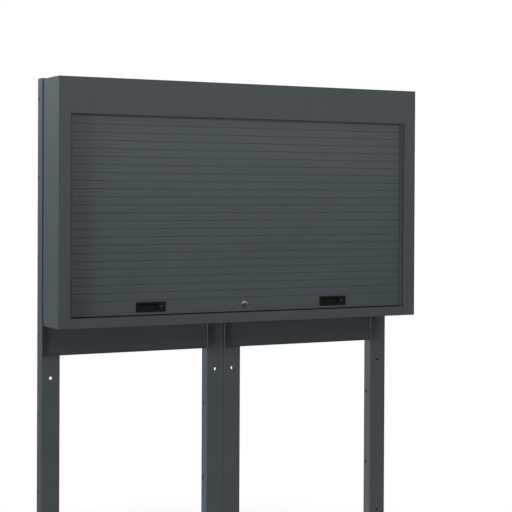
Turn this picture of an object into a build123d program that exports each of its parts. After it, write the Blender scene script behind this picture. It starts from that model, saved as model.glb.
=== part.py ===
"""Roller-shutter tool cabinet hung on slotted uprights, in build123d.

Millimetres. X runs to the right as seen from the front, Y to the back and Z up. The origin is on the
floor, at the middle of the width and of the overall depth. Depths are measured back from the
cabinet's front face, and heights inside the cabinet are measured up from its underside.
"""

from build123d import *
from math import atan2, ceil, cos, hypot, pi, radians, sin, sqrt, tan
import os

os.makedirs("parts", exist_ok=True)

# ---------------------------------------------------------------- driving dimensions
# Cabinet box
CABINET_WIDTH = 1450.0
CABINET_HEIGHT = 865.0
CABINET_DEPTH = 156.0
CABINET_BASE = 1041.0  # underside of the cabinet above the floor
SHEET = 1.2  # folded sheet of the carcass
FRONT_FLANGE = 16.0  # side panel's flange behind the front frame
BACK_FLANGE = 20.0

# Front frame
FRAME_SHEET = 1.5
HEADER_HEIGHT = 126.5
JAMB_WIDTH = 43.0
RAIL_HEIGHT = 33.6
FRAME_LIP = 12.0  # outer return, seen as a seam along the side panels
FRAME_RETURN = 10.0  # inner return round the opening
FOLD_RADIUS = 1.0
SILL_DEPTH = 42.0

# Guide rails
GUIDE_DEPTH = 28.0
GUIDE_WIDTH = 26.0
GUIDE_WALL = 2.0
GUIDE_NOSE = 10.5  # reaches past the jamb over the ends of the slats
GUIDE_NOSE_DEPTH = 3.5  # behind the front of the guide
GUIDE_PLAY_FRONT = 1.0  # in the slot, before and behind the slats
GUIDE_PLAY_BACK = 2.5
GUIDE_RISE = 7.0  # height of the guides above the top of the opening

# Shutter
SHUTTER_DEPTH = 25.0  # front face of the slats
SLAT_PITCH = 28.05
SLAT_WALL = 1.2
SLAT_THICKNESS = 7.0
SLAT_GROOVE = 1.2
SLAT_HOOK = 4.4  # how far a slat's hook reaches down behind its neighbour
SLAT_PLAY = 0.2
SLAT_TO_WEB = 4.0  # from the slat's end to the web of the guide

# Bottom bar
BAR_HEIGHT = 50.5
BAR_THICKNESS = 14.0
BAR_WALL = 2.0
BAR_TO_JAMB = 2.0
SEAL_HEIGHT = 3.3
SEAL_GAP = 0.2
SEAL_WIDTH = 8.0
GLIDE_PLAY = 0.3
GLIDE_THICKNESS = 7.4
GLIDE_PLUG = 14.0
GROOVE_DEPTH = 5.0
GROOVE_PLAY = 0.3

# Flush pulls
PULL_FROM_END = 308.0  # from the end of the bar to the middle of the pull
PULL_ABOVE_MIDDLE = 1.5
PULL_WIDTH = 114.0
PULL_HEIGHT = 36.0
PULL_FLANGE = 1.2
PULL_RIM = 4.0
PULL_POCKET_DEPTH = 11.0
PULL_POCKET_WIDTH = 78.0
PULL_WALL = 1.5
PULL_FIT = 0.3
PULL_SCREW_HEAD = 3.6  # radius
PULL_SCREW_SHANK = 1.6  # radius
PULL_SCREW_HEIGHT = 1.1

# Lock
LOCK_RISE = 24.5  # above the bar's lower edge
LOCK_RADIUS = 10.0
LOCK_ROSE = 12.5
LOCK_ROSE_HEIGHT = 2.4
LOCK_FIT = 0.2
PLUG_RADIUS = 6.0
PLUG_FIT = 0.05
PLUG_PROUD = 0.6
KEYWAY_WIDTH = 1.2
KEYWAY_LENGTH = 7.0
KEYWAY_DEPTH = 6.0
GEAR_MODULE = 1.0
PINION_TEETH = 14
GEAR_BACKLASH = 0.35
GEAR_PRESSURE = 20.0  # degrees
ADDENDUM = 0.8
DEDENDUM = 1.15
ROD_THICKNESS = 3.0
ROD_HEIGHT = 9.0
ROD_TO_BAR = 0.5
ROD_TO_STRIKE = 6.0  # from the rod's tip to the strike, unlocked
RACK_TEETH_AHEAD = 3  # teeth beyond the pinion, towards the rod's tip
RACK_TEETH_BEHIND = 6
ROD_GUIDE_FROM_MIDDLE = 150.0
ROD_GUIDE_FROM_END = 159.0
ROD_GUIDE_SHEET = 1.0
ROD_GUIDE_LENGTH = 14.0
ROD_GUIDE_FOOT = 6.0
ROD_GUIDE_PLAY = 0.3
STRIKE_FROM_OPENING = 15.0
STRIKE_SHEET = 1.2
STRIKE_EAR = 12.0
STRIKE_FOOT = 9.0
STRIKE_HEIGHT = 44.0
STRIKE_FIT = 0.4

# Roller in the header
ROLLER_BEHIND = 8.0  # from the slats' front face to the front of the tube
ROLLER_BELOW_TOP = 64.0
ROLLER_RADIUS = 25.0
ROLLER_WALL = 1.5
ROLLER_TO_BRACKET = 8.0
ROLLER_HUB = 4.0
SHAFT_RADIUS = 6.0
SHAFT_FIT = 0.05
BRACKET_FROM_SIDE = 17.0
BRACKET_SHEET = 3.0
BRACKET_BELOW = 28.0
BRACKET_LENGTH = 56.0
SPRING_STRIP = 0.6  # flat spiral spring, wound from the shaft out to the tube
SPRING_WIDTH = 20.0
SPRING_TURNS = 6
SPRING_STEPS = 18  # straight runs in one turn
SPRING_FIT = 0.2
SPRING_FROM_END = 10.0
STRAP_WIDTH = 24.0
STRAP_SHEET = 0.8
STRAP_GAP = 0.3
STRAP_FROM_END = 221.0
COVER_FRONT = 48.0
COVER_LIP = 13.0
COVER_SIDE_GAP = 26.0

# Tool panel and back
TOOL_PANEL_BEFORE_BACK = 31.0
TOOL_PANEL_SIDE_GAP = 35.0
TOOL_PANEL_BOTTOM = 45.0
TOOL_PANEL_BELOW_TOP = 130.0
PERFORATION = 10.0
PERFORATION_PITCH = 114.0
PERFORATION_MARGIN = 30.0  # least sheet beside the outer holes

# Uprights, in two frames that stand side by side
UPRIGHT_WIDTH = 70.0
UPRIGHT_DEPTH = 46.0
UPRIGHT_SHEET = 2.0
UPRIGHT_LIP = 12.0
UPRIGHT_INSET = 7.0  # from the cabinet's side to the outer upright
UPRIGHT_ABOVE = 6.0  # above the top of the cabinet
FOOT_PLATE = 8.0
FOOT_PLUG = 20.0
FOOT_FIT = 0.3
SIDE_SLOT_PITCH = 279.5
SIDE_SLOT_TOP = 74.0  # below the top of the upright
SIDE_SLOT_COUNT = 7
SIDE_SLOT_DEPTH = 30.0  # behind the front of the upright
SIDE_SLOT_WIDTH = 8.5
SIDE_SLOT_LENGTH = 16.0
BENCH_HOLE_RADIUS = 5.5
BENCH_HOLE_HEIGHTS = (250.0, 850.0)
BOLT_RADIUS = 4.0
BOLT_HEAD = 7.0
BOLT_HEAD_HEIGHT = 5.0
BOLT_SLOTS = (0, 3, 6)
BOLT_TAIL = 3.0

# Hangers between the cabinet and the uprights
STANDOFF = 40.0
HANGER_WIDTH = 50.0
HANGER_SHEET = 3.0
HANGER_BOTTOM = 80.0
HANGER_BELOW_TOP = 85.0
HOOK_FROM_BOTTOM = 160.0
HOOK_FROM_TOP = 165.0
HOOK_HEIGHT = 24.0
HOOK_REACH = 8.0
HOOK_DROP = 10.0
HOOK_FIT = 0.5

# Lower back panels
PANEL_HEIGHT = 130.0
PANEL_BELOW_BASE = 111.0
PANEL_FLANGE = 10.0
PANEL_SHEET = 1.2
PANEL_GAP = 1.0
PANEL_EAR_WIDTH = 30.0
PANEL_EAR_LENGTH = 22.0

# ---------------------------------------------------------------- worked-out sizes
OVERALL_DEPTH = CABINET_DEPTH + STANDOFF + UPRIGHT_DEPTH
OVERALL_HEIGHT = CABINET_BASE + CABINET_HEIGHT + UPRIGHT_ABOVE
FRONT_Y = -OVERALL_DEPTH / 2
HALF_WIDTH = CABINET_WIDTH / 2
OPENING_HALF = HALF_WIDTH - JAMB_WIDTH
OPENING_TOP = CABINET_HEIGHT - HEADER_HEIGHT
OPENING_HEIGHT = OPENING_TOP - RAIL_HEIGHT
BACK_SHEET_DEPTH = CABINET_DEPTH - SHEET
TOOL_PANEL_DEPTH = CABINET_DEPTH - TOOL_PANEL_BEFORE_BACK
TOOL_PANEL_HALF = HALF_WIDTH - TOOL_PANEL_SIDE_GAP
TOOL_PANEL_TOP = CABINET_HEIGHT - TOOL_PANEL_BELOW_TOP
TOOL_PANEL_MIDDLE = (TOOL_PANEL_BOTTOM + TOOL_PANEL_TOP) / 2
INNER_HALF = HALF_WIDTH - SHEET
GUIDE_WEB = OPENING_HALF + GUIDE_WIDTH - GUIDE_WALL
GUIDE_BACK = FRAME_RETURN + GUIDE_DEPTH
GUIDE_TOP = OPENING_TOP + GUIDE_RISE
GUIDE_SLOT_FRONT = SHUTTER_DEPTH - GUIDE_PLAY_FRONT
GUIDE_SLOT = SLAT_THICKNESS + GUIDE_PLAY_FRONT + GUIDE_PLAY_BACK
NOSE_FRONT = FRAME_RETURN + GUIDE_NOSE_DEPTH
SLAT_HALF = GUIDE_WEB - SLAT_TO_WEB
BAR_BOTTOM = RAIL_HEIGHT + SEAL_GAP + SEAL_HEIGHT
BAR_TOP = BAR_BOTTOM + BAR_HEIGHT
BAR_BACK = SHUTTER_DEPTH + BAR_THICKNESS
BAR_HALF = OPENING_HALF - BAR_TO_JAMB
SLAT_COUNT = ceil((OPENING_TOP - BAR_TOP) / SLAT_PITCH)
CURTAIN_TOP = BAR_TOP + SLAT_COUNT * SLAT_PITCH
HOLLOW_HEIGHT = BAR_HEIGHT - 2 * BAR_WALL - GROOVE_DEPTH
HOLLOW_THICKNESS = BAR_THICKNESS - 2 * BAR_WALL
GROOVE_WIDTH = SLAT_THICKNESS + GROOVE_PLAY - SLAT_WALL
PULL_CENTRE = BAR_HALF - PULL_FROM_END
PULL_CENTRE_HEIGHT = BAR_BOTTOM + BAR_HEIGHT / 2 + PULL_ABOVE_MIDDLE
LOCK_HEIGHT = BAR_BOTTOM + LOCK_RISE
PITCH_RADIUS = GEAR_MODULE * PINION_TEETH / 2
ROD_FRONT = BAR_BACK + ROD_TO_BAR
ROD_BACK = ROD_FRONT + ROD_THICKNESS
ROD_CENTRE = PITCH_RADIUS + DEDENDUM * GEAR_MODULE + ROD_HEIGHT / 2
ROD_GUIDE_PLACES = (ROD_GUIDE_FROM_MIDDLE, BAR_HALF - ROD_GUIDE_FROM_END)
STRIKE_PLACE = OPENING_HALF + STRIKE_FROM_OPENING
ROD_TIP = STRIKE_PLACE - ROD_TO_STRIKE
ROLLER_DEPTH = SHUTTER_DEPTH + ROLLER_BEHIND + ROLLER_RADIUS
ROLLER_HEIGHT = CABINET_HEIGHT - ROLLER_BELOW_TOP
BRACKET_PLACE = HALF_WIDTH - BRACKET_FROM_SIDE
ROLLER_LENGTH = 2 * (BRACKET_PLACE - ROLLER_TO_BRACKET)
STRAP_OUT = SLAT_HALF - STRAP_FROM_END
HANGER_TOP = CABINET_HEIGHT - HANGER_BELOW_TOP
HOOK_HEIGHTS = (HOOK_FROM_BOTTOM, CABINET_HEIGHT - HOOK_FROM_TOP)
PANEL_BOTTOM = CABINET_BASE - PANEL_BELOW_BASE
FRAME_SPAN = HALF_WIDTH - UPRIGHT_INSET  # one frame, over both of its uprights
UPRIGHT_FRONT = CABINET_DEPTH + STANDOFF
UPRIGHT_CENTRES = (
    -FRAME_SPAN + UPRIGHT_WIDTH / 2,
    -UPRIGHT_WIDTH / 2,
    UPRIGHT_WIDTH / 2,
    FRAME_SPAN - UPRIGHT_WIDTH / 2,
)
UPRIGHT_NAMES = ("upright_left_end", "upright_left_mid", "upright_right_mid", "upright_right_end")
SIDE_SLOT_HEIGHTS = [
    OVERALL_HEIGHT - SIDE_SLOT_TOP - k * SIDE_SLOT_PITCH for k in range(SIDE_SLOT_COUNT)
]


# ---------------------------------------------------------------- helpers
def at_depth(depth):
    """Y of a depth behind the cabinet's front face."""
    return FRONT_Y + depth


def at_height(height):
    """Z of a height above the cabinet's underside."""
    return CABINET_BASE + height


def facing(depth):
    """Sketch plane across the width and height at a depth; extrude(amount=-t) goes back by t."""
    return Plane.XZ.offset(-at_depth(depth))


def level(z):
    """Sketch plane across the width and depth at a height above the floor."""
    return Plane.XY.offset(z)


def across(x):
    """Sketch plane across the depth and height at a place along the width."""
    return Plane.YZ.offset(x)


def folded(points, thickness, side=Side.LEFT):
    """Section of a folded sheet that lies on one side of a line of points, mitred at each fold."""
    reach = thickness if side == Side.LEFT else -thickness
    normals = []
    for (x1, y1), (x2, y2) in zip(points, points[1:]):
        length = hypot(x2 - x1, y2 - y1)
        normals.append(((y1 - y2) / length, (x2 - x1) / length))
    other_face = []
    for (x, y), (a, b), (c, d) in zip(points, [normals[0], *normals], [*normals, normals[-1]]):
        mitre = reach / (1 + a * c + b * d)
        other_face.append((x + mitre * (a + c), y + mitre * (b + d)))
    with BuildSketch() as section:
        with BuildLine():
            Polyline(*points, *reversed(other_face), close=True)
        make_face()
    return section.sketch


def finish(builder, name):
    """Label a finished piece and write its file."""
    builder.part.label = name
    export_step(builder.part, f"parts/{name}.step")


# ---------------------------------------------------------------- cabinet carcass
with BuildPart() as front_frame:
    OPENING_CENTRE = (0, at_height(RAIL_HEIGHT + OPENING_HEIGHT / 2))
    CABINET_CENTRE = (0, at_height(CABINET_HEIGHT / 2))
    with BuildSketch(facing(0)):
        with Locations(CABINET_CENTRE):
            Rectangle(CABINET_WIDTH, CABINET_HEIGHT)
        with Locations(OPENING_CENTRE):
            Rectangle(2 * OPENING_HALF, OPENING_HEIGHT, mode=Mode.SUBTRACT)
    extrude(amount=-FRAME_SHEET)
    with BuildSketch(facing(0)):
        with Locations(CABINET_CENTRE):
            Rectangle(CABINET_WIDTH, CABINET_HEIGHT)
            Rectangle(CABINET_WIDTH - 2 * FRAME_SHEET, CABINET_HEIGHT - 2 * FRAME_SHEET, mode=Mode.SUBTRACT)
    extrude(amount=-FRAME_LIP)
    with BuildSketch(facing(0)):
        with Locations(OPENING_CENTRE):
            Rectangle(2 * (OPENING_HALF + FRAME_SHEET), OPENING_HEIGHT + 2 * FRAME_SHEET)
            Rectangle(2 * OPENING_HALF, OPENING_HEIGHT, mode=Mode.SUBTRACT)
    extrude(amount=-FRAME_RETURN)
    fillet(front_frame.faces().sort_by(Axis.Y)[0].edges(), radius=FOLD_RADIUS)
    # the bottom return runs deeper, as the sill that the shutter closes on
    with BuildSketch(level(at_height(RAIL_HEIGHT))):
        with Locations((0, at_depth((FRAME_RETURN + SILL_DEPTH) / 2))):
            Rectangle(2 * (OPENING_HALF + GUIDE_WIDTH), SILL_DEPTH - FRAME_RETURN)
    extrude(amount=-FRAME_SHEET)
finish(front_frame, "front_frame")


def side_panel(hand):
    """Folded side of the cabinet: hand is -1 on the left and 1 on the right."""
    outer = hand * HALF_WIDTH
    inner_front = hand * (HALF_WIDTH - FRONT_FLANGE)
    inner_back = hand * (HALF_WIDTH - BACK_FLANGE)
    line = [
        (inner_front, at_depth(FRAME_LIP)),
        (outer, at_depth(FRAME_LIP)),
        (outer, at_depth(BACK_SHEET_DEPTH)),
        (inner_back, at_depth(BACK_SHEET_DEPTH)),
    ]
    with BuildPart() as panel:
        with BuildSketch(level(at_height(0))):
            add(folded(line, SHEET, Side.RIGHT if hand < 0 else Side.LEFT))
        extrude(amount=CABINET_HEIGHT)
        # the flanges stop short, so that the top and bottom panels pass over their ends
        with BuildSketch(level(at_height(0))):
            with Locations((hand * (HALF_WIDTH - SHEET - FRONT_FLANGE), at_depth(BACK_SHEET_DEPTH / 2))):
                Rectangle(2 * FRONT_FLANGE, BACK_SHEET_DEPTH)
        extrude(amount=SHEET, mode=Mode.SUBTRACT)
        with BuildSketch(level(at_height(CABINET_HEIGHT))):
            with Locations((hand * (HALF_WIDTH - SHEET - FRONT_FLANGE), at_depth(BACK_SHEET_DEPTH / 2))):
                Rectangle(2 * FRONT_FLANGE, BACK_SHEET_DEPTH)
        extrude(amount=-SHEET, mode=Mode.SUBTRACT)
    return panel


side_panel_left = side_panel(-1)
finish(side_panel_left, "side_panel_left")
side_panel_right = side_panel(1)
finish(side_panel_right, "side_panel_right")

NOTCH_FRONT = FRONT_FLANGE + FOLD_RADIUS
NOTCH_BACK = BACK_FLANGE + FOLD_RADIUS


def cover_panel(outer_height, hand):
    """Top (hand 1) or bottom (hand -1) of the cabinet, with a turned flange at front and back."""
    flange_end = outer_height - hand * BACK_FLANGE
    line = [
        (at_depth(FRAME_LIP), at_height(flange_end)),
        (at_depth(FRAME_LIP), at_height(outer_height)),
        (at_depth(BACK_SHEET_DEPTH), at_height(outer_height)),
        (at_depth(BACK_SHEET_DEPTH), at_height(flange_end)),
    ]
    with BuildPart() as panel:
        with BuildSketch(across(-INNER_HALF)):
            add(folded(line, SHEET, Side.RIGHT if hand > 0 else Side.LEFT))
        extrude(amount=2 * INNER_HALF)
        # corner notches clear the side panels' flanges
        with BuildSketch(level(at_height(outer_height - hand * SHEET))):
            for notch, place in (
                (NOTCH_FRONT, FRAME_LIP),
                (NOTCH_BACK, BACK_SHEET_DEPTH - 2 * SHEET),
            ):
                with Locations(
                    (-HALF_WIDTH + notch / 2, at_depth(place + SHEET)),
                    (HALF_WIDTH - notch / 2, at_depth(place + SHEET)),
                ):
                    Rectangle(notch, 2 * SHEET)
        extrude(amount=-hand * BACK_FLANGE, mode=Mode.SUBTRACT)
    return panel


top_panel = cover_panel(CABINET_HEIGHT, 1)
finish(top_panel, "top_panel")
bottom_panel = cover_panel(0, -1)
finish(bottom_panel, "bottom_panel")

with BuildPart() as back_sheet:
    with BuildSketch(facing(BACK_SHEET_DEPTH)):
        with Locations(CABINET_CENTRE):
            Rectangle(CABINET_WIDTH, CABINET_HEIGHT)
    extrude(amount=-SHEET)
finish(back_sheet, "back_sheet")

with BuildPart() as tool_panel:
    panel_line = [
        (-TOOL_PANEL_HALF, at_depth(BACK_SHEET_DEPTH)),
        (-TOOL_PANEL_HALF, at_depth(TOOL_PANEL_DEPTH)),
        (TOOL_PANEL_HALF, at_depth(TOOL_PANEL_DEPTH)),
        (TOOL_PANEL_HALF, at_depth(BACK_SHEET_DEPTH)),
    ]
    with BuildSketch(level(at_height(TOOL_PANEL_BOTTOM))):
        add(folded(panel_line, SHEET))
    extrude(amount=TOOL_PANEL_TOP - TOOL_PANEL_BOTTOM)
    # rows and columns of holes run out both ways from the one at the middle
    hole_margin = PERFORATION_MARGIN + PERFORATION / 2
    columns = 2 * int((TOOL_PANEL_HALF - hole_margin) / PERFORATION_PITCH) + 1
    rows = 2 * int((TOOL_PANEL_MIDDLE - TOOL_PANEL_BOTTOM - hole_margin) / PERFORATION_PITCH) + 1
    with BuildSketch(facing(TOOL_PANEL_DEPTH)):
        with Locations((0, at_height(TOOL_PANEL_MIDDLE))):
            with GridLocations(PERFORATION_PITCH, PERFORATION_PITCH, columns, rows):
                Rectangle(PERFORATION, PERFORATION)
    extrude(amount=-SHEET, mode=Mode.SUBTRACT)
finish(tool_panel, "tool_panel")


# ---------------------------------------------------------------- guide rails
def guide_rail(hand):
    """Extruded guide with a hollow nose before the slats' ends and a slot that holds them."""
    inner = OPENING_HALF
    with BuildPart() as guide:
        with BuildSketch(level(at_height(RAIL_HEIGHT))):
            with Locations((hand * (inner + GUIDE_WIDTH / 2), at_depth(FRAME_RETURN + GUIDE_DEPTH / 2))):
                Rectangle(GUIDE_WIDTH, GUIDE_DEPTH)
            nose_length = GUIDE_SLOT_FRONT - NOSE_FRONT
            with Locations((hand * (inner - GUIDE_NOSE / 2), at_depth(NOSE_FRONT + nose_length / 2))):
                Rectangle(GUIDE_NOSE, nose_length)
            slot_length = GUIDE_WIDTH - GUIDE_WALL
            with Locations((hand * (inner + slot_length / 2), at_depth(GUIDE_SLOT_FRONT + GUIDE_SLOT / 2))):
                Rectangle(slot_length, GUIDE_SLOT, mode=Mode.SUBTRACT)
            chamber_depth = GUIDE_SLOT_FRONT - FRAME_RETURN - 2 * GUIDE_WALL
            chamber_middle = FRAME_RETURN + GUIDE_WALL + chamber_depth / 2
            with Locations((hand * (inner + GUIDE_WIDTH / 2), at_depth(chamber_middle))):
                Rectangle(GUIDE_WIDTH - 2 * GUIDE_WALL, chamber_depth, mode=Mode.SUBTRACT)
            nose_chamber = nose_length - 2 * GUIDE_WALL
            chamber_middle = NOSE_FRONT + GUIDE_WALL + nose_chamber / 2
            with Locations((hand * (inner + GUIDE_WALL - GUIDE_NOSE / 2), at_depth(chamber_middle))):
                Rectangle(GUIDE_NOSE, nose_chamber, mode=Mode.SUBTRACT)
        extrude(amount=GUIDE_TOP - RAIL_HEIGHT)
    return guide


guide_rail_left = guide_rail(-1)
finish(guide_rail_left, "guide_rail_left")
guide_rail_right = guide_rail(1)
finish(guide_rail_right, "guide_rail_right")


# ---------------------------------------------------------------- shutter curtain
def slat_outline(bottom):
    """Section of one interlocking slat whose pitch starts at a height in the cabinet."""
    front = at_depth(SHUTTER_DEPTH)
    back = front + SLAT_THICKNESS
    low = at_height(bottom)
    wall = SLAT_WALL
    face_low = low + SLAT_GROOVE
    face_high = low + SLAT_PITCH
    bead = front + SLAT_THICKNESS / 2
    hook_tip = low - SLAT_HOOK
    return [
        (front, face_low),
        (front, face_high),
        (front + 2 * wall, face_high),
        (front + 2 * wall, face_high + SLAT_GROOVE - SLAT_PLAY),
        (bead, face_high + SLAT_GROOVE - SLAT_PLAY),
        (bead, face_high - wall),
        (front + wall, face_high - wall),
        (front + wall, face_low + wall),
        (back, face_low + wall),
        (back, hook_tip),
        (back - 2 * wall, hook_tip),
        (back - 2 * wall, hook_tip + wall),
        (back - wall, hook_tip + wall),
        (back - wall, face_low),
    ]


for number in range(1, SLAT_COUNT + 1):
    with BuildPart() as slat:
        with BuildSketch(across(-SLAT_HALF)):
            with BuildLine():
                Polyline(*slat_outline(BAR_TOP + (number - 1) * SLAT_PITCH), close=True)
            make_face()
        extrude(amount=2 * SLAT_HALF)
    finish(slat, f"slat_{number:02d}")

with BuildPart() as curtain_straps:
    strap_front = at_depth(ROLLER_DEPTH - ROLLER_RADIUS - STRAP_GAP - STRAP_SHEET)
    behind_bead = at_depth(SHUTTER_DEPTH + SLAT_THICKNESS / 2 + STRAP_GAP)
    under_bead = at_height(CURTAIN_TOP - SLAT_WALL - STRAP_GAP)
    strap_line = [
        (strap_front, at_height(ROLLER_HEIGHT)),
        (strap_front, at_height(ROLLER_HEIGHT - ROLLER_RADIUS / 2)),
        (behind_bead, at_height(CURTAIN_TOP + SLAT_GROOVE)),
        (behind_bead, under_bead),
        (at_depth(SHUTTER_DEPTH + SLAT_WALL + STRAP_GAP), under_bead),
    ]
    for place in (-STRAP_OUT, 0, STRAP_OUT):
        with BuildSketch(across(place - STRAP_WIDTH / 2)):
            add(folded(strap_line, STRAP_SHEET))
        extrude(amount=STRAP_WIDTH)
finish(curtain_straps, "curtain_straps")

# ---------------------------------------------------------------- bottom bar and its fittings
with BuildPart() as bottom_bar:
    bar_front = at_depth(SHUTTER_DEPTH)
    with BuildSketch(across(-BAR_HALF)):
        with Locations((bar_front, at_height(BAR_BOTTOM))):
            Rectangle(BAR_THICKNESS, BAR_HEIGHT, align=(Align.MIN, Align.MIN))
        with Locations((bar_front + BAR_WALL, at_height(BAR_BOTTOM + BAR_WALL))):
            Rectangle(HOLLOW_THICKNESS, HOLLOW_HEIGHT, align=(Align.MIN, Align.MIN), mode=Mode.SUBTRACT)
        # groove in the top that holds the lowest slat's hook, behind the same bead as a slat has
        with Locations((bar_front + SLAT_WALL, at_height(BAR_TOP - GROOVE_DEPTH))):
            Rectangle(GROOVE_WIDTH, GROOVE_DEPTH, align=(Align.MIN, Align.MIN), mode=Mode.SUBTRACT)
        with Locations((bar_front, at_height(BAR_TOP - SLAT_WALL))):
            Rectangle(SLAT_THICKNESS / 2, SLAT_WALL, align=(Align.MIN, Align.MIN))
        with Locations((bar_front + 2 * SLAT_WALL, at_height(BAR_TOP - SLAT_WALL))):
            bead_height = SLAT_WALL + SLAT_GROOVE - SLAT_PLAY
            bead_width = SLAT_THICKNESS / 2 - 2 * SLAT_WALL
            Rectangle(bead_width, bead_height, align=(Align.MIN, Align.MIN))
    extrude(amount=2 * BAR_HALF)
    with BuildSketch(facing(SHUTTER_DEPTH)):
        with Locations(
            (-PULL_CENTRE, at_height(PULL_CENTRE_HEIGHT)),
            (PULL_CENTRE, at_height(PULL_CENTRE_HEIGHT)),
        ):
            Rectangle(PULL_WIDTH - 2 * PULL_RIM, PULL_HEIGHT - 2 * PULL_RIM)
    extrude(amount=-BAR_WALL, mode=Mode.SUBTRACT)
    with BuildSketch(facing(SHUTTER_DEPTH)):
        with Locations((0, at_height(LOCK_HEIGHT))):
            Circle(LOCK_RADIUS + LOCK_FIT)
    extrude(amount=-BAR_THICKNESS, mode=Mode.SUBTRACT)
finish(bottom_bar, "bottom_bar")

with BuildPart() as bottom_seal:
    with BuildSketch(across(-BAR_HALF)):
        with Locations((at_depth(SHUTTER_DEPTH + BAR_THICKNESS / 2), at_height(BAR_BOTTOM - SEAL_HEIGHT / 2))):
            Rectangle(SEAL_WIDTH, SEAL_HEIGHT)
    extrude(amount=2 * BAR_HALF)
    seal_low_edges = bottom_seal.faces().sort_by(Axis.Z)[0].edges().filter_by(Axis.X)
    fillet(seal_low_edges, radius=SEAL_HEIGHT / 2)
finish(bottom_seal, "bottom_seal")

with BuildPart() as bar_glides:
    for hand in (-1, 1):
        hollow_middle = BAR_BOTTOM + BAR_WALL + HOLLOW_HEIGHT / 2
        with BuildSketch(across(hand * (BAR_HALF - GLIDE_PLUG))):
            with Locations((at_depth(SHUTTER_DEPTH + BAR_THICKNESS / 2), at_height(hollow_middle))):
                Rectangle(HOLLOW_THICKNESS - 2 * GLIDE_PLAY, HOLLOW_HEIGHT - 2 * GLIDE_PLAY)
        extrude(amount=hand * GLIDE_PLUG)
        tongue_middle = SHUTTER_DEPTH + GLIDE_PLAY + GLIDE_THICKNESS / 2
        with BuildSketch(across(hand * BAR_HALF)):
            with Locations((at_depth(tongue_middle), at_height(hollow_middle))):
                Rectangle(GLIDE_THICKNESS, HOLLOW_HEIGHT)
        extrude(amount=hand * (SLAT_HALF - BAR_HALF))
finish(bar_glides, "bar_glides")


def flush_pull(middle):
    """Moulded pull: a flange, and behind it a body with a finger pocket and a screw pad."""
    height = at_height(PULL_CENTRE_HEIGHT)
    body_width = PULL_WIDTH - 2 * PULL_RIM - 2 * PULL_FIT
    body_height = PULL_HEIGHT - 2 * PULL_RIM - 2 * PULL_FIT
    pocket_middle = middle - body_width / 2 + PULL_WALL + PULL_POCKET_WIDTH / 2
    with BuildPart() as pull:
        with BuildSketch(facing(SHUTTER_DEPTH - PULL_FLANGE)):
            with Locations((middle, height)):
                RectangleRounded(PULL_WIDTH, PULL_HEIGHT, PULL_RIM)
        extrude(amount=-PULL_FLANGE)
        chamfer(pull.faces().sort_by(Axis.Y)[0].edges(), length=PULL_FLANGE / 2)
        with BuildSketch(facing(SHUTTER_DEPTH)):
            with Locations((middle, height)):
                Rectangle(body_width, body_height)
        extrude(amount=-PULL_POCKET_DEPTH)
        with BuildSketch(facing(SHUTTER_DEPTH - PULL_FLANGE)):
            with Locations((pocket_middle, height)):
                Rectangle(PULL_POCKET_WIDTH, body_height - 2 * PULL_WALL)
        extrude(amount=-(PULL_FLANGE + PULL_POCKET_DEPTH - PULL_WALL), taper=8.0, mode=Mode.SUBTRACT)
        with BuildSketch(facing(SHUTTER_DEPTH - PULL_FLANGE)):
            with Locations((pull_screw_place(middle), height)):
                Circle(PULL_SCREW_SHANK + PLUG_FIT)
        extrude(amount=-(PULL_FLANGE + PULL_POCKET_DEPTH), mode=Mode.SUBTRACT)
    return pull


def pull_screw_place(middle):
    """The screw stands in the pad between the pocket and the pull's right end."""
    body_half = PULL_WIDTH / 2 - PULL_RIM - PULL_FIT
    pad = 2 * body_half - PULL_POCKET_WIDTH - PULL_WALL
    return middle + body_half - pad / 2


pull_left = flush_pull(-PULL_CENTRE)
finish(pull_left, "pull_left")
pull_right = flush_pull(PULL_CENTRE)
finish(pull_right, "pull_right")

with BuildPart() as pull_screws:
    for middle in (-PULL_CENTRE, PULL_CENTRE):
        screw_place = (pull_screw_place(middle), at_height(PULL_CENTRE_HEIGHT))
        with BuildSketch(facing(SHUTTER_DEPTH - PULL_FLANGE - PULL_SCREW_HEIGHT)):
            with Locations(screw_place):
                Circle(PULL_SCREW_HEAD)
        extrude(amount=-PULL_SCREW_HEIGHT)
        with BuildSketch(facing(SHUTTER_DEPTH - PULL_FLANGE)):
            with Locations(screw_place):
                Circle(PULL_SCREW_SHANK)
        extrude(amount=-(PULL_FLANGE + PULL_POCKET_DEPTH))
finish(pull_screws, "pull_screws")

# ---------------------------------------------------------------- lock
LOCK_PLACE = (0, at_height(LOCK_HEIGHT))

with BuildPart() as lock_body:
    with BuildSketch(facing(SHUTTER_DEPTH - LOCK_ROSE_HEIGHT)):
        with Locations(LOCK_PLACE):
            Circle(LOCK_ROSE)
    extrude(amount=-LOCK_ROSE_HEIGHT)
    chamfer(lock_body.faces().sort_by(Axis.Y)[0].edges(), length=LOCK_ROSE_HEIGHT / 2)
    with BuildSketch(facing(SHUTTER_DEPTH)):
        with Locations(LOCK_PLACE):
            Circle(LOCK_RADIUS)
    extrude(amount=-BAR_THICKNESS)
    with BuildSketch(facing(SHUTTER_DEPTH - LOCK_ROSE_HEIGHT)):
        with Locations(LOCK_PLACE):
            Circle(PLUG_RADIUS + PLUG_FIT)
    extrude(amount=-(LOCK_ROSE_HEIGHT + BAR_THICKNESS), mode=Mode.SUBTRACT)
finish(lock_body, "lock_body")


def involute_point(base, radius, turn):
    """Point on an involute of a base circle at a radius, turned about the pinion's centre."""
    roll = sqrt(max((radius / base) ** 2 - 1, 0.0))
    angle = roll - atan2(roll, 1.0) + turn
    return (radius * cos(angle), radius * sin(angle))


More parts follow.
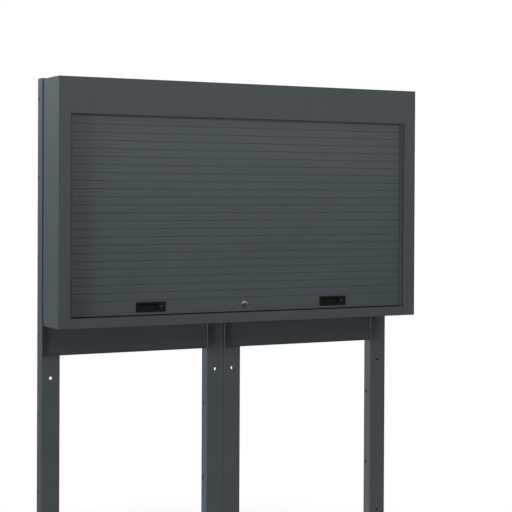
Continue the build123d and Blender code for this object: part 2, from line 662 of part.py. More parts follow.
def pinion_outline():
    """Closed outline of the pinion, with thinned teeth for backlash."""
    pressure = radians(GEAR_PRESSURE)
    base = PITCH_RADIUS * cos(pressure)
    tip = PITCH_RADIUS + ADDENDUM * GEAR_MODULE
    root = PITCH_RADIUS - DEDENDUM * GEAR_MODULE
    half_tooth = (pi * GEAR_MODULE / 2 - GEAR_BACKLASH) / (2 * PITCH_RADIUS)
    flank_turn = -half_tooth - (tan(pressure) - pressure)
    flank_low = max(base, root)
    radii = [flank_low + (tip - flank_low) * k / 3 for k in range(4)]
    points = []
    for tooth in range(PINION_TEETH):
        middle = 2 * pi * (tooth + 0.5) / PINION_TEETH + pi / 2
        rising = [involute_point(base, r, flank_turn) for r in radii]
        falling = [(x, -y) for x, y in reversed(rising)]
        foot_angle = atan2(rising[0][1], rising[0][0])
        feet = [(root * cos(a), root * sin(a)) for a in (foot_angle, -foot_angle)]
        for x, y in [feet[0], *rising, *falling, feet[1]]:
            points.append((x * cos(middle) - y * sin(middle), x * sin(middle) + y * cos(middle)))
    return points


def about_lock(points):
    """Points in the lock's own plane, moved to where the lock stands."""
    return [(LOCK_PLACE[0] + x, LOCK_PLACE[1] + z) for x, z in points]


with BuildPart() as lock_plug:
    plug_front = SHUTTER_DEPTH - LOCK_ROSE_HEIGHT - PLUG_PROUD
    with BuildSketch(facing(plug_front)):
        with Locations(LOCK_PLACE):
            Circle(PLUG_RADIUS)
    extrude(amount=-(ROD_FRONT - plug_front))
    with BuildSketch(facing(plug_front)):
        with Locations(LOCK_PLACE):
            Rectangle(KEYWAY_WIDTH, KEYWAY_LENGTH)
    extrude(amount=-KEYWAY_DEPTH, mode=Mode.SUBTRACT)
    with BuildSketch(facing(ROD_FRONT)):
        with BuildLine():
            Polyline(*about_lock(pinion_outline()), close=True)
        make_face()
    extrude(amount=-ROD_THICKNESS)
finish(lock_plug, "lock_plug")


def lock_rod(hand):
    """Flat rod whose rack runs over (hand 1, right) or under (hand -1, left) the pinion."""
    tooth_pitch = pi * GEAR_MODULE
    slope = tan(radians(GEAR_PRESSURE))
    half_foot = (tooth_pitch / 2 - GEAR_BACKLASH) / 2 + DEDENDUM * GEAR_MODULE * slope
    half_tip = (tooth_pitch / 2 - GEAR_BACKLASH) / 2 - ADDENDUM * GEAR_MODULE * slope
    foot_line = PITCH_RADIUS + DEDENDUM * GEAR_MODULE
    tip_line = PITCH_RADIUS - ADDENDUM * GEAR_MODULE
    near_end = -(RACK_TEETH_BEHIND + 0.5) * tooth_pitch
    points = [(near_end, foot_line), (near_end, foot_line + ROD_HEIGHT)]
    points += [(ROD_TIP, foot_line + ROD_HEIGHT), (ROD_TIP, foot_line)]
    for tooth in range(RACK_TEETH_AHEAD, -RACK_TEETH_BEHIND - 1, -1):
        middle = tooth * tooth_pitch
        points += [(middle + half_foot, foot_line), (middle + half_tip, tip_line)]
        points += [(middle - half_tip, tip_line), (middle - half_foot, foot_line)]
    with BuildPart() as rod:
        with BuildSketch(facing(ROD_FRONT)):
            with BuildLine():
                Polyline(*about_lock([(hand * x, hand * z) for x, z in points]), close=True)
            make_face()
        extrude(amount=-ROD_THICKNESS)
    return rod


lock_rod_left = lock_rod(-1)
finish(lock_rod_left, "lock_rod_left")
lock_rod_right = lock_rod(1)
finish(lock_rod_right, "lock_rod_right")

with BuildPart() as rod_guides:
    for hand in (-1, 1):
        rod_middle = LOCK_HEIGHT + hand * ROD_CENTRE
        hoop_half = ROD_HEIGHT / 2 + ROD_GUIDE_PLAY
        hoop_back = ROD_BACK + ROD_GUIDE_PLAY
        staple = [
            (at_depth(BAR_BACK), at_height(rod_middle - hoop_half - ROD_GUIDE_FOOT)),
            (at_depth(BAR_BACK), at_height(rod_middle - hoop_half - ROD_GUIDE_SHEET)),
            (at_depth(hoop_back), at_height(rod_middle - hoop_half - ROD_GUIDE_SHEET)),
            (at_depth(hoop_back), at_height(rod_middle + hoop_half + ROD_GUIDE_SHEET)),
            (at_depth(BAR_BACK), at_height(rod_middle + hoop_half + ROD_GUIDE_SHEET)),
            (at_depth(BAR_BACK), at_height(rod_middle + hoop_half + ROD_GUIDE_FOOT)),
        ]
        for place in ROD_GUIDE_PLACES:
            with BuildSketch(across(hand * place - ROD_GUIDE_LENGTH / 2)):
                add(folded(staple, ROD_GUIDE_SHEET, Side.RIGHT))
            extrude(amount=ROD_GUIDE_LENGTH)
finish(rod_guides, "rod_guides")

with BuildPart() as lock_strikes:
    for hand in (-1, 1):
        strike = [
            (hand * (STRIKE_PLACE + STRIKE_FOOT), at_depth(GUIDE_BACK)),
            (hand * STRIKE_PLACE, at_depth(GUIDE_BACK)),
            (hand * STRIKE_PLACE, at_depth(GUIDE_BACK + STRIKE_EAR)),
        ]
        with BuildSketch(level(at_height(LOCK_HEIGHT - STRIKE_HEIGHT / 2))):
            add(folded(strike, STRIKE_SHEET, Side.RIGHT if hand > 0 else Side.LEFT))
        extrude(amount=STRIKE_HEIGHT)
        rod_middle = LOCK_HEIGHT + hand * ROD_CENTRE
        with BuildSketch(across(hand * STRIKE_PLACE)):
            with Locations((at_depth((ROD_FRONT + ROD_BACK) / 2), at_height(rod_middle))):
                Rectangle(ROD_THICKNESS + 2 * STRIKE_FIT, ROD_HEIGHT + 2 * STRIKE_FIT)
        extrude(amount=hand * STRIKE_SHEET, mode=Mode.SUBTRACT)
finish(lock_strikes, "lock_strikes")

# ---------------------------------------------------------------- roller in the header
ROLLER_AXIS = (at_depth(ROLLER_DEPTH), at_height(ROLLER_HEIGHT))

with BuildPart() as roller_tube:
    with BuildSketch(across(-ROLLER_LENGTH / 2)):
        with Locations(ROLLER_AXIS):
            Circle(ROLLER_RADIUS)
            Circle(SHAFT_RADIUS + SHAFT_FIT, mode=Mode.SUBTRACT)
    extrude(amount=ROLLER_LENGTH)
    with BuildSketch(across(-ROLLER_LENGTH / 2 + ROLLER_HUB)):
        with Locations(ROLLER_AXIS):
            Circle(ROLLER_RADIUS - ROLLER_WALL)
    extrude(amount=ROLLER_LENGTH - 2 * ROLLER_HUB, mode=Mode.SUBTRACT)
finish(roller_tube, "roller_tube")

with BuildPart() as roller_shaft:
    with BuildSketch(across(-BRACKET_PLACE - BRACKET_SHEET)):
        with Locations(ROLLER_AXIS):
            Circle(SHAFT_RADIUS)
    extrude(amount=2 * (BRACKET_PLACE + BRACKET_SHEET))
finish(roller_shaft, "roller_shaft")

with BuildPart() as roller_brackets:
    under_top = CABINET_HEIGHT - SHEET
    for hand in (-1, 1):
        with BuildSketch(facing(ROLLER_DEPTH - BRACKET_LENGTH / 2)):
            add(
                folded(
                    [
                        (hand * BRACKET_PLACE, at_height(ROLLER_HEIGHT - BRACKET_BELOW)),
                        (hand * BRACKET_PLACE, at_height(under_top)),
                        (hand * INNER_HALF, at_height(under_top)),
                    ],
                    BRACKET_SHEET,
                    Side.RIGHT if hand > 0 else Side.LEFT,
                )
            )
        extrude(amount=-BRACKET_LENGTH)
        with BuildSketch(across(hand * BRACKET_PLACE)):
            with Locations(ROLLER_AXIS):
                Circle(SHAFT_RADIUS + SHAFT_FIT)
        extrude(amount=hand * BRACKET_SHEET, mode=Mode.SUBTRACT)
finish(roller_brackets, "roller_brackets")

with BuildPart() as roller_spring:
    coil_start = SHAFT_RADIUS + SPRING_FIT
    coil_rise = ROLLER_RADIUS - ROLLER_WALL - SPRING_FIT - SPRING_STRIP - coil_start
    coil = []
    for step in range(SPRING_TURNS * SPRING_STEPS + 1):
        angle = 2 * pi * step / SPRING_STEPS
        reach = coil_start + coil_rise * step / (SPRING_TURNS * SPRING_STEPS)
        coil.append((ROLLER_AXIS[0] + reach * cos(angle), ROLLER_AXIS[1] + reach * sin(angle)))
    with BuildSketch(across(-ROLLER_LENGTH / 2 + SPRING_FROM_END)):
        add(folded(coil, SPRING_STRIP, Side.RIGHT))
    extrude(amount=SPRING_WIDTH)
finish(roller_spring, "roller_spring")

with BuildPart() as roller_cover:
    cover_half = HALF_WIDTH - COVER_SIDE_GAP
    with BuildSketch(across(-cover_half)):
        add(
            folded(
                [
                    (at_depth(COVER_FRONT), at_height(TOOL_PANEL_TOP + COVER_LIP)),
                    (at_depth(COVER_FRONT), at_height(TOOL_PANEL_TOP)),
                    (at_depth(BACK_SHEET_DEPTH - SHEET), at_height(TOOL_PANEL_TOP)),
                ],
                SHEET,
            )
        )
    extrude(amount=2 * cover_half)
finish(roller_cover, "roller_cover")

# ---------------------------------------------------------------- uprights and feet
for upright_name, centre in zip(UPRIGHT_NAMES, UPRIGHT_CENTRES):
    half = UPRIGHT_WIDTH / 2
    front = at_depth(UPRIGHT_FRONT)
    back = at_depth(OVERALL_DEPTH)
    with BuildPart() as upright:
        with BuildSketch(level(FOOT_PLATE)):
            add(
                folded(
                    [
                        (centre - half + UPRIGHT_LIP, back),
                        (centre - half, back),
                        (centre - half, front),
                        (centre + half, front),
                        (centre + half, back),
                        (centre + half - UPRIGHT_LIP, back),
                    ],
                    UPRIGHT_SHEET,
                )
            )
        extrude(amount=OVERALL_HEIGHT - FOOT_PLATE)
        # slots through both sides, where the frames are bolted together
        with BuildSketch(across(centre - half)):
            with Locations(*[(front + SIDE_SLOT_DEPTH, z) for z in SIDE_SLOT_HEIGHTS]):
                Rectangle(SIDE_SLOT_WIDTH, SIDE_SLOT_LENGTH)
        extrude(amount=UPRIGHT_WIDTH, mode=Mode.SUBTRACT)
        # slots in the front for the hangers' hooks, and holes for the bench bolts
        with BuildSketch(facing(UPRIGHT_FRONT)):
            hook_x = HANGER_WIDTH / 2 - HANGER_SHEET / 2
            for height in HOOK_HEIGHTS:
                with Locations(
                    (centre - hook_x, at_height(height + (HOOK_HEIGHT + HOOK_DROP) / 2)),
                    (centre + hook_x, at_height(height + (HOOK_HEIGHT + HOOK_DROP) / 2)),
                ):
                    Rectangle(HANGER_SHEET + 2 * HOOK_FIT, HOOK_HEIGHT + HOOK_DROP)
            with Locations(*[(centre, z) for z in BENCH_HOLE_HEIGHTS]):
                Circle(BENCH_HOLE_RADIUS)
        extrude(amount=-UPRIGHT_SHEET, mode=Mode.SUBTRACT)
    finish(upright, upright_name)

with BuildPart() as upright_feet:
    foot_y = at_depth(UPRIGHT_FRONT + UPRIGHT_DEPTH / 2)
    with BuildSketch(level(0)):
        with Locations(*[(centre, foot_y) for centre in UPRIGHT_CENTRES]):
            Rectangle(UPRIGHT_WIDTH - 2 * FOOT_FIT, UPRIGHT_DEPTH - 2 * FOOT_FIT)
    extrude(amount=FOOT_PLATE)
    plug_inset = 2 * (UPRIGHT_SHEET + FOOT_FIT)
    with BuildSketch(level(FOOT_PLATE)):
        with Locations(*[(centre, foot_y) for centre in UPRIGHT_CENTRES]):
            Rectangle(UPRIGHT_WIDTH - plug_inset, UPRIGHT_DEPTH - plug_inset)
    extrude(amount=FOOT_PLUG)
finish(upright_feet, "upright_feet")

with BuildPart() as frame_bolts:
    bolt_y = at_depth(UPRIGHT_FRONT + SIDE_SLOT_DEPTH)
    for slot in BOLT_SLOTS:
        bolt_at = (bolt_y, SIDE_SLOT_HEIGHTS[slot])
        with BuildSketch(across(-UPRIGHT_SHEET)):
            with Locations(bolt_at):
                RegularPolygon(BOLT_HEAD, 6)
        extrude(amount=-BOLT_HEAD_HEIGHT)
        with BuildSketch(across(-UPRIGHT_SHEET)):
            with Locations(bolt_at):
                Circle(BOLT_RADIUS)
        extrude(amount=2 * UPRIGHT_SHEET + BOLT_HEAD_HEIGHT + BOLT_TAIL)
        with BuildSketch(across(UPRIGHT_SHEET)):
            with Locations(bolt_at):
                RegularPolygon(BOLT_HEAD, 6)
        extrude(amount=BOLT_HEAD_HEIGHT)
finish(frame_bolts, "frame_bolts")

# ---------------------------------------------------------------- hangers
with BuildPart() as hanger_brackets:
    for centre in UPRIGHT_CENTRES:
        half = HANGER_WIDTH / 2
        with BuildSketch(level(at_height(HANGER_BOTTOM))):
            add(
                folded(
                    [
                        (centre - half, at_depth(UPRIGHT_FRONT)),
                        (centre - half, at_depth(CABINET_DEPTH)),
                        (centre + half, at_depth(CABINET_DEPTH)),
                        (centre + half, at_depth(UPRIGHT_FRONT)),
                    ],
                    HANGER_SHEET,
                )
            )
        extrude(amount=HANGER_TOP - HANGER_BOTTOM)
        for height in HOOK_HEIGHTS:
            root = at_depth(UPRIGHT_FRONT)
            behind = root + UPRIGHT_SHEET + HOOK_FIT
            tip = root + HOOK_REACH
            low = at_height(height)
            hook = [
                (root, low),
                (behind, low),
                (behind, low - HOOK_DROP),
                (tip, low - HOOK_DROP),
                (tip, low + HOOK_HEIGHT - HOOK_DROP),
                (root, low + HOOK_HEIGHT - HOOK_DROP),
            ]
            for plate in (centre - half, centre + half - HANGER_SHEET):
                with BuildSketch(across(plate)):
                    with BuildLine():
                        Polyline(*hook, close=True)
                    make_face()
                extrude(amount=HANGER_SHEET)
finish(hanger_brackets, "hanger_brackets")


# ---------------------------------------------------------------- lower back panels
def lower_panel(left, right, ear_hand):
    """Shallow tray with flanges turned forward and two ears that screw to an upright's side."""
    width = right - left
    middle = (left + right) / 2
    height = PANEL_BOTTOM + PANEL_HEIGHT / 2
    ear_x = right - PANEL_SHEET if ear_hand > 0 else left
    with BuildPart() as panel:
        with BuildSketch(facing(UPRIGHT_FRONT - PANEL_FLANGE)):
            with Locations((middle, height)):
                Rectangle(width, PANEL_HEIGHT)
        extrude(amount=-PANEL_FLANGE)
        with BuildSketch(facing(UPRIGHT_FRONT - PANEL_FLANGE)):
            with Locations((middle, height)):
                Rectangle(width - 2 * PANEL_SHEET, PANEL_HEIGHT - 2 * PANEL_SHEET)
        extrude(amount=-(PANEL_FLANGE - PANEL_SHEET), mode=Mode.SUBTRACT)
        with BuildSketch(across(ear_x)):
            with Locations((at_depth(UPRIGHT_FRONT + PANEL_EAR_LENGTH / 2), height)):
                Rectangle(PANEL_EAR_LENGTH, PANEL_EAR_WIDTH)
        extrude(amount=PANEL_SHEET)
    return panel


FIRST_LEFT = -FRAME_SPAN
FIRST_RIGHT = -UPRIGHT_WIDTH - HOOK_FIT
SECOND_LEFT = PANEL_GAP
SECOND_RIGHT = FRAME_SPAN - UPRIGHT_WIDTH - HOOK_FIT

lower_panel_left = lower_panel(FIRST_LEFT, FIRST_RIGHT, 1)
finish(lower_panel_left, "lower_panel_left")
lower_panel_right = lower_panel(SECOND_LEFT, SECOND_RIGHT, 1)
finish(lower_panel_right, "lower_panel_right")
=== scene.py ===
from math import cos, pi, radians, sin

import bmesh
import bpy
from bpy.props import FloatProperty, FloatVectorProperty, IntProperty, PointerProperty
from bpy.types import Operator, Panel, PropertyGroup
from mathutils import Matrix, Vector


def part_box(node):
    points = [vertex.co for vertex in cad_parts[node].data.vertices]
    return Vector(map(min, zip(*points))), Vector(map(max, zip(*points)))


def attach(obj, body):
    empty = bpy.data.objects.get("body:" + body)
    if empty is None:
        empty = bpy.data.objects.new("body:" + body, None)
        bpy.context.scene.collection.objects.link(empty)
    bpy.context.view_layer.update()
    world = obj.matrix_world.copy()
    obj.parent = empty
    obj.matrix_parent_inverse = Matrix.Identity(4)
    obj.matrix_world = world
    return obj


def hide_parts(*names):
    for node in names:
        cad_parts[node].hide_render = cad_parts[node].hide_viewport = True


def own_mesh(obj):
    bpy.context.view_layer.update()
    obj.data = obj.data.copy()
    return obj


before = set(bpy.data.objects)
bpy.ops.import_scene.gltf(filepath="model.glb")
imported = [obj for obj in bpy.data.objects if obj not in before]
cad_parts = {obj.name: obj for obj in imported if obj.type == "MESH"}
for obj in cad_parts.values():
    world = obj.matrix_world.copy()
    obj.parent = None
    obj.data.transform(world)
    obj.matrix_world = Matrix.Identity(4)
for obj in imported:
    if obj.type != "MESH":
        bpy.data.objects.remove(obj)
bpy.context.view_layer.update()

bl_info = {
    "name": "Roller-shutter tool cabinet",
    "version": (1, 0, 0),
    "blender": (4, 5, 0),
    "location": "3D View > Sidebar > Tool cabinet",
    "description": "Dresses the roller-shutter tool cabinet and its uprights over the packed parts",
    "category": "Object",
}

MM = 0.001
FRAME_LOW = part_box("front_frame")[0]
FRONT = FRAME_LOW.y  # the cabinet's front face
BASE = FRAME_LOW.z  # the cabinet's underside
SLATS = sorted(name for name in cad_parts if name.startswith("slat_"))
UPRIGHTS = sorted(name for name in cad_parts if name.startswith("upright_") and name != "upright_feet")

LONG = 0.5  # metres: a longer edge runs the whole length of its piece
# the lengths below are millimetres
SHEET = 1.2  # folded sheet of the carcass, the tool panel and the lower panels
UPRIGHT_SHEET = 2.0
SIDE_SLOT_TOP, SIDE_SLOT_PITCH, SIDE_SLOT_COUNT = 74.0, 279.5, 7  # counted down from an upright's top
BOLTED_SLOTS = (0, 3, 6)  # the side slots that take the bolts between the two middle uprights


# ---------------------------------------------------------------- places and colours
def at(x, depth, height):
    """Point of the cabinet, in millimetres from its middle, front face and underside."""
    return Vector((x * MM, FRONT + depth * MM, BASE + height * MM))


def depth_of(y):
    return (y - FRONT) / MM


def height_of(z):
    return (z - BASE) / MM


def side_slot(top, number):
    """Height in metres of the middle of an upright's side slot, counted from its top."""
    return top - (SIDE_SLOT_TOP + number * SIDE_SLOT_PITCH) * MM


def linear(code):
    """Linear RGBA of an sRGB hex colour."""
    parts = [int(code[k:k + 2], 16) / 255 for k in (1, 3, 5)]
    return [p / 12.92 if p <= 0.04045 else ((p + 0.055) / 1.055) ** 2.4 for p in parts] + [1.0]


def shade(colour, amount):
    """The same colour, lighter or darker by a share of itself."""
    return [min(c * (1 + amount), 1.0) for c in colour[:3]] + [1.0]


# ---------------------------------------------------------------- work at the bench
def put_down():
    """Object mode, with nothing selected."""
    if bpy.context.object and bpy.context.object.mode != "OBJECT":
        bpy.ops.object.mode_set(mode="OBJECT")
    bpy.ops.object.select_all(action="DESELECT")


def take(piece, mode="OBJECT"):
    """The piece alone is selected and active."""
    put_down()
    bpy.context.view_layer.objects.active = piece
    piece.select_set(True)
    bpy.ops.object.mode_set(mode=mode)
    return piece


def set_place():
    """The active object's place, turn and scale go into its mesh."""
    bpy.ops.object.transform_apply(location=True, rotation=True, scale=True)


def block(name, low, high):
    """Cube from one corner to the other."""
    put_down()
    low, high = Vector(low), Vector(high)
    bpy.ops.mesh.primitive_cube_add(size=1, location=(low + high) / 2, scale=high - low)
    bpy.context.object.name = name
    set_place()
    return bpy.context.object


def rod(name, start, end, radius, sides=48):
    """Cylinder between two points that lie on one axis."""
    put_down()
    start, end = Vector(start), Vector(end)
    turn = (end - start).to_track_quat("Z", "Y").to_euler()
    bpy.ops.mesh.primitive_cylinder_add(
        vertices=sides, radius=radius, depth=(end - start).length, location=(start + end) / 2, rotation=turn
    )
    bpy.context.object.name = name
    set_place()
    return bpy.context.object


def outline(name, points, closed=True):
    """One vertex, extruded from each point to the next, and filled where the line closes."""
    put_down()
    bpy.ops.mesh.primitive_plane_add(size=MM, location=points[0])
    piece = bpy.context.object
    piece.name = name
    set_place()
    bpy.ops.object.mode_set(mode="EDIT")
    bpy.ops.mesh.select_mode(type="VERT")
    bpy.ops.mesh.select_all(action="SELECT")
    bpy.ops.mesh.merge(type="CENTER")
    for here, there in zip(points, points[1:]):
        move(Vector(there) - Vector(here))
    bpy.ops.mesh.select_all(action="SELECT")
    if closed:
        bpy.ops.mesh.edge_face_add()
    return piece


def move(by):
    """Extrudes what is selected."""
    bpy.ops.mesh.extrude_region_move(TRANSFORM_OT_translate={"value": by})


def pick(piece, kind, test):
    """Selects the vertices, edges or faces that pass a test of their places and, for faces, normals."""
    take(piece, "EDIT")
    bpy.ops.mesh.select_mode(type=kind)
    bpy.ops.mesh.select_all(action="DESELECT")
    mesh = bmesh.from_edit_mesh(piece.data)
    if kind == "VERT":
        chosen = [v for v in mesh.verts if test(v.co)]
    elif kind == "EDGE":
        chosen = [e for e in mesh.edges if test(e.verts[0].co, e.verts[1].co)]
    else:
        chosen = [f for f in mesh.faces if test(f.calc_center_median(), f.normal)]
    if not chosen:
        raise RuntimeError(f"nothing to pick on {piece.name}")
    for part in chosen:
        part.select_set(True)
    bmesh.update_edit_mesh(piece.data)
    return piece


def near(a, b):
    return abs(a - b) < 0.02 * MM


def outward():
    """Merges doubles and turns every face outwards."""
    bpy.ops.mesh.select_all(action="SELECT")
    bpy.ops.mesh.remove_doubles(threshold=0.005 * MM)
    bpy.ops.mesh.normals_make_consistent(inside=False)


def sheet_forwards(piece, y):
    """Turns an open sheet so that its faces at a depth look to the front."""
    pick(piece, "FACE", lambda c, n: near(c.y, y))
    if [f for f in bmesh.from_edit_mesh(piece.data).faces if f.select][0].normal.y > 0:
        bpy.ops.mesh.select_all(action="SELECT")
        bpy.ops.mesh.flip_normals()


def change(piece, kind, **settings):
    """Adds one modifier with its settings and applies it."""
    take(piece)
    bpy.ops.object.modifier_add(type=kind)
    modifier = piece.modifiers[-1]
    for name, value in settings.items():
        setattr(modifier, name, value)
    bpy.ops.object.modifier_apply(modifier=modifier.name)
    return piece


def round_over(piece, radius, segments=2, angle=40):
    """Rounds every sharp edge."""
    return change(
        piece, "BEVEL", width=radius, segments=segments, limit_method="ANGLE", angle_limit=radians(angle),
        use_clamp_overlap=True, miter_outer="MITER_ARC",
    )


def cut(piece, cutter):
    """Takes one shape out of another."""
    change(piece, "BOOLEAN", operation="DIFFERENCE", solver="EXACT", object=cutter)
    bpy.data.objects.remove(cutter)
    return piece


def joined(name, pieces):
    """Several meshes made one."""
    put_down()
    for piece in pieces:
        piece.select_set(True)
    bpy.context.view_layer.objects.active = pieces[0]
    bpy.ops.object.join()
    pieces[0].name = name
    return pieces[0]


def copied(piece, name, by):
    """A copy with its own mesh, moved."""
    take(piece)
    bpy.ops.object.duplicate(linked=False)
    bpy.ops.transform.translate(value=by)
    set_place()
    bpy.context.object.name = name
    return bpy.context.object


def merged(node, name):
    """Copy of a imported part's mesh with its loose triangles welded into plain faces."""
    put_down()
    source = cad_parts[node]
    piece = source.copy()
    piece.data = source.data.copy()
    piece.name = name
    piece.parent = None
    for key in [k for k in piece.keys() if k.startswith("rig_")]:
        del piece[key]
    bpy.context.scene.collection.objects.link(piece)
    take(piece)
    bpy.ops.mesh.customdata_custom_splitnormals_clear()
    take(piece, "EDIT")
    bpy.ops.mesh.select_all(action="SELECT")
    bpy.ops.mesh.remove_doubles(threshold=0.003 * MM)
    bpy.ops.mesh.normals_make_consistent(inside=False)
    bpy.ops.mesh.dissolve_limited(angle_limit=radians(0.8))
    return piece


def bevel_edges(piece, radius, segments, test):
    """Rounds the edges that pass a test of their two ends."""
    pick(piece, "EDGE", test)
    bpy.ops.mesh.bevel(offset=radius, offset_type="OFFSET", segments=segments, clamp_overlap=True)
    return piece


def round_folds(sheet, axis, outer, inwards, radius, test):
    """Rounds a folded sheet's edges that lie at one place along an axis, outside and inside."""
    for place, fold in ((outer, radius), (outer + inwards * SHEET * MM, radius - SHEET * MM)):
        bevel_edges(sheet, fold, 3, lambda a, b: near(a[axis], place) and near(b[axis], place) and test(a, b))


def finished(piece, material, slot, body, *nodes, angle=32):
    """Shades the piece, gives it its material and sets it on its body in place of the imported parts."""
    take(piece)
    bpy.ops.object.shade_smooth_by_angle(angle=radians(angle))
    change(piece, "WEIGHTED_NORMAL", keep_sharp=True, weight=100)
    piece.data.materials.clear()
    piece.data.materials.append(material)
    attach(piece, body)
    if nodes:
        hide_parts(*nodes)
    return piece


def repaint(material, *nodes):
    """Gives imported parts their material."""
    for node in nodes:
        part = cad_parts[node]
        part.data.materials.clear()
        part.data.materials.append(material)


# ---------------------------------------------------------------- materials
WHITE = (1, 1, 1, 1)
NOISE_SPAN = {"From Min": 0.3, "From Max": 0.7}  # most of a noise's values lie between these


def add_node(tree, kind, inputs=None, **settings):
    """Adds a node with its settings; an input takes a number, a colour or another node's socket."""
    made = tree.nodes.new("ShaderNode" + kind)
    for name, value in settings.items():
        setattr(made, name, value)
    for name, value in (inputs or {}).items():
        if isinstance(value, bpy.types.NodeSocket):
            tree.links.new(value, made.inputs[name])
        else:
            made.inputs[name].default_value = value
    return made


def new_material(name, colour):
    """Material with an empty node tree."""
    material = bpy.data.materials.new(name)
    material.use_nodes = True
    material.diffuse_color = colour
    material.node_tree.nodes.clear()
    return material, material.node_tree


def spots(size):
    """Scale at which a pattern's spots are this many millimetres across."""
    return 1 / (size * MM)


def powder_coat(name, colour):
    """Polyester powder coat, sprayed dry and baked: an even satin-matt skin with a fine grain that breaks up
    reflections, a faint orange peel, and slow drifts of tone over a hand's breadth."""
    material, tree = new_material(name, colour)
    place = add_node(tree, "TexCoord").outputs["Object"]
    drift = add_node(tree, "TexNoise", {"Vector": place, "Scale": spots(143), "Detail": 3})
    # the grain is about 0.3 mm on the real skin, and is drawn coarser so that it shows
    grain = add_node(tree, "TexNoise", {"Vector": place, "Scale": spots(1.43), "Detail": 2, "Roughness": 0.6})
    peel = add_node(tree, "TexNoise", {"Vector": place, "Scale": spots(6.25), "Detail": 1})
    tone = add_node(tree, "MapRange", {"Value": drift.outputs["Fac"], **NOISE_SPAN})
    clouded = add_node(
        tree, "Mix", {"Factor": tone.outputs["Result"], "A": shade(colour, -0.05), "B": shade(colour, 0.05)},
        data_type="RGBA",
    )
    speck = add_node(tree, "MapRange", {"Value": grain.outputs["Fac"], "From Min": 0.35, "From Max": 0.65})
    skin = add_node(
        tree, "Mix",
        {"Factor": speck.outputs["Result"], "A": clouded.outputs["Result"], "B": shade(colour, 0.09)},
        data_type="RGBA",
    )
    rough = add_node(
        tree, "MapRange", {"Value": drift.outputs["Fac"], **NOISE_SPAN, "To Min": 0.5, "To Max": 0.58}
    )
    wave = add_node(tree, "Bump", {"Strength": 0.12, "Distance": 0.15 * MM, "Height": peel.outputs["Fac"]})
    bump = add_node(
        tree, "Bump",
        {"Strength": 0.22, "Distance": 0.1 * MM, "Height": grain.outputs["Fac"],
         "Normal": wave.outputs["Normal"]},
    )
    coat = add_node(
        tree, "BsdfPrincipled",
        {"Base Color": skin.outputs["Result"], "Roughness": rough.outputs["Result"],
         "Normal": bump.outputs["Normal"], "IOR": 1.5, "Specular IOR Level": 0.35},
    )
    add_node(tree, "OutputMaterial", {"Surface": coat.outputs["BSDF"]})
    return material


def coated_aluminium(name, colour, roughness):
    """Drawn aluminium with a stoved satin coat: flatter and a little glossier than powder coat, with the long
    faint lines that the roll-former leaves."""
    material, tree = new_material(name, colour)
    place = add_node(tree, "TexCoord").outputs["Object"]
    # the lines lie about 0.3 mm apart on the real strip, and are drawn wider apart so that they show
    across = spots(1.11)
    along = add_node(tree, "Mapping", {"Vector": place, "Scale": (spots(250), across, across)})
    lines = add_node(
        tree, "TexNoise", {"Vector": along.outputs["Vector"], "Scale": 1, "Detail": 3, "Roughness": 0.6}
    )
    drift = add_node(tree, "TexNoise", {"Vector": place, "Scale": spots(200), "Detail": 3})
    streak = add_node(tree, "MapRange", {"Value": lines.outputs["Fac"], **NOISE_SPAN})
    lined = add_node(
        tree, "Mix",
        {"Factor": streak.outputs["Result"], "A": shade(colour, -0.05), "B": shade(colour, 0.06)},
        data_type="RGBA",
    )
    clouded = add_node(
        tree, "Mix", {"Factor": drift.outputs["Fac"], "A": lined.outputs["Result"], "B": shade(colour, 0.05)},
        data_type="RGBA",
    )
    rough = add_node(
        tree, "MapRange",
        {"Value": drift.outputs["Fac"], **NOISE_SPAN, "To Min": roughness - 0.04, "To Max": roughness + 0.05},
    )
    bump = add_node(tree, "Bump", {"Strength": 0.1, "Distance": 0.1 * MM, "Height": lines.outputs["Fac"]})
    coat = add_node(
        tree, "BsdfPrincipled",
        {"Base Color": clouded.outputs["Result"], "Roughness": rough.outputs["Result"],
         "Normal": bump.outputs["Normal"], "IOR": 1.5, "Specular IOR Level": 0.35},
    )
    add_node(tree, "OutputMaterial", {"Surface": coat.outputs["BSDF"]})
    return material


def moulded_plastic(name, colour):
    """Injection-moulded ABS from a spark-eroded tool: near black, with an even pebble and a dull shine."""
    material, tree = new_material(name, colour)
    place = add_node(tree, "TexCoord").outputs["Object"]
    # the pebble is about 0.15 mm on the real moulding, and is drawn coarser so that it shows
    pebble = add_node(tree, "TexVoronoi", {"Vector": place, "Scale": spots(0.714)}, feature="SMOOTH_F1")
    drift = add_node(tree, "TexNoise", {"Vector": place, "Scale": spots(25), "Detail": 3})
    skin = add_node(
        tree, "Mix", {"Factor": drift.outputs["Fac"], "A": shade(colour, -0.15), "B": shade(colour, 0.2)},
        data_type="RGBA",
    )
    rough = add_node(
        tree, "MapRange", {"Value": drift.outputs["Fac"], **NOISE_SPAN, "To Min": 0.44, "To Max": 0.56}
    )
    bump = add_node(
        tree, "Bump", {"Strength": 0.25, "Distance": 0.06 * MM, "Height": pebble.outputs["Distance"]}
    )
    plastic = add_node(
        tree, "BsdfPrincipled",
        {"Base Color": skin.outputs["Result"], "Roughness": rough.outputs["Result"],
         "Normal": bump.outputs["Normal"], "IOR": 1.53, "Specular IOR Level": 0.3},
    )
    add_node(tree, "OutputMaterial", {"Surface": plastic.outputs["BSDF"]})
    return material


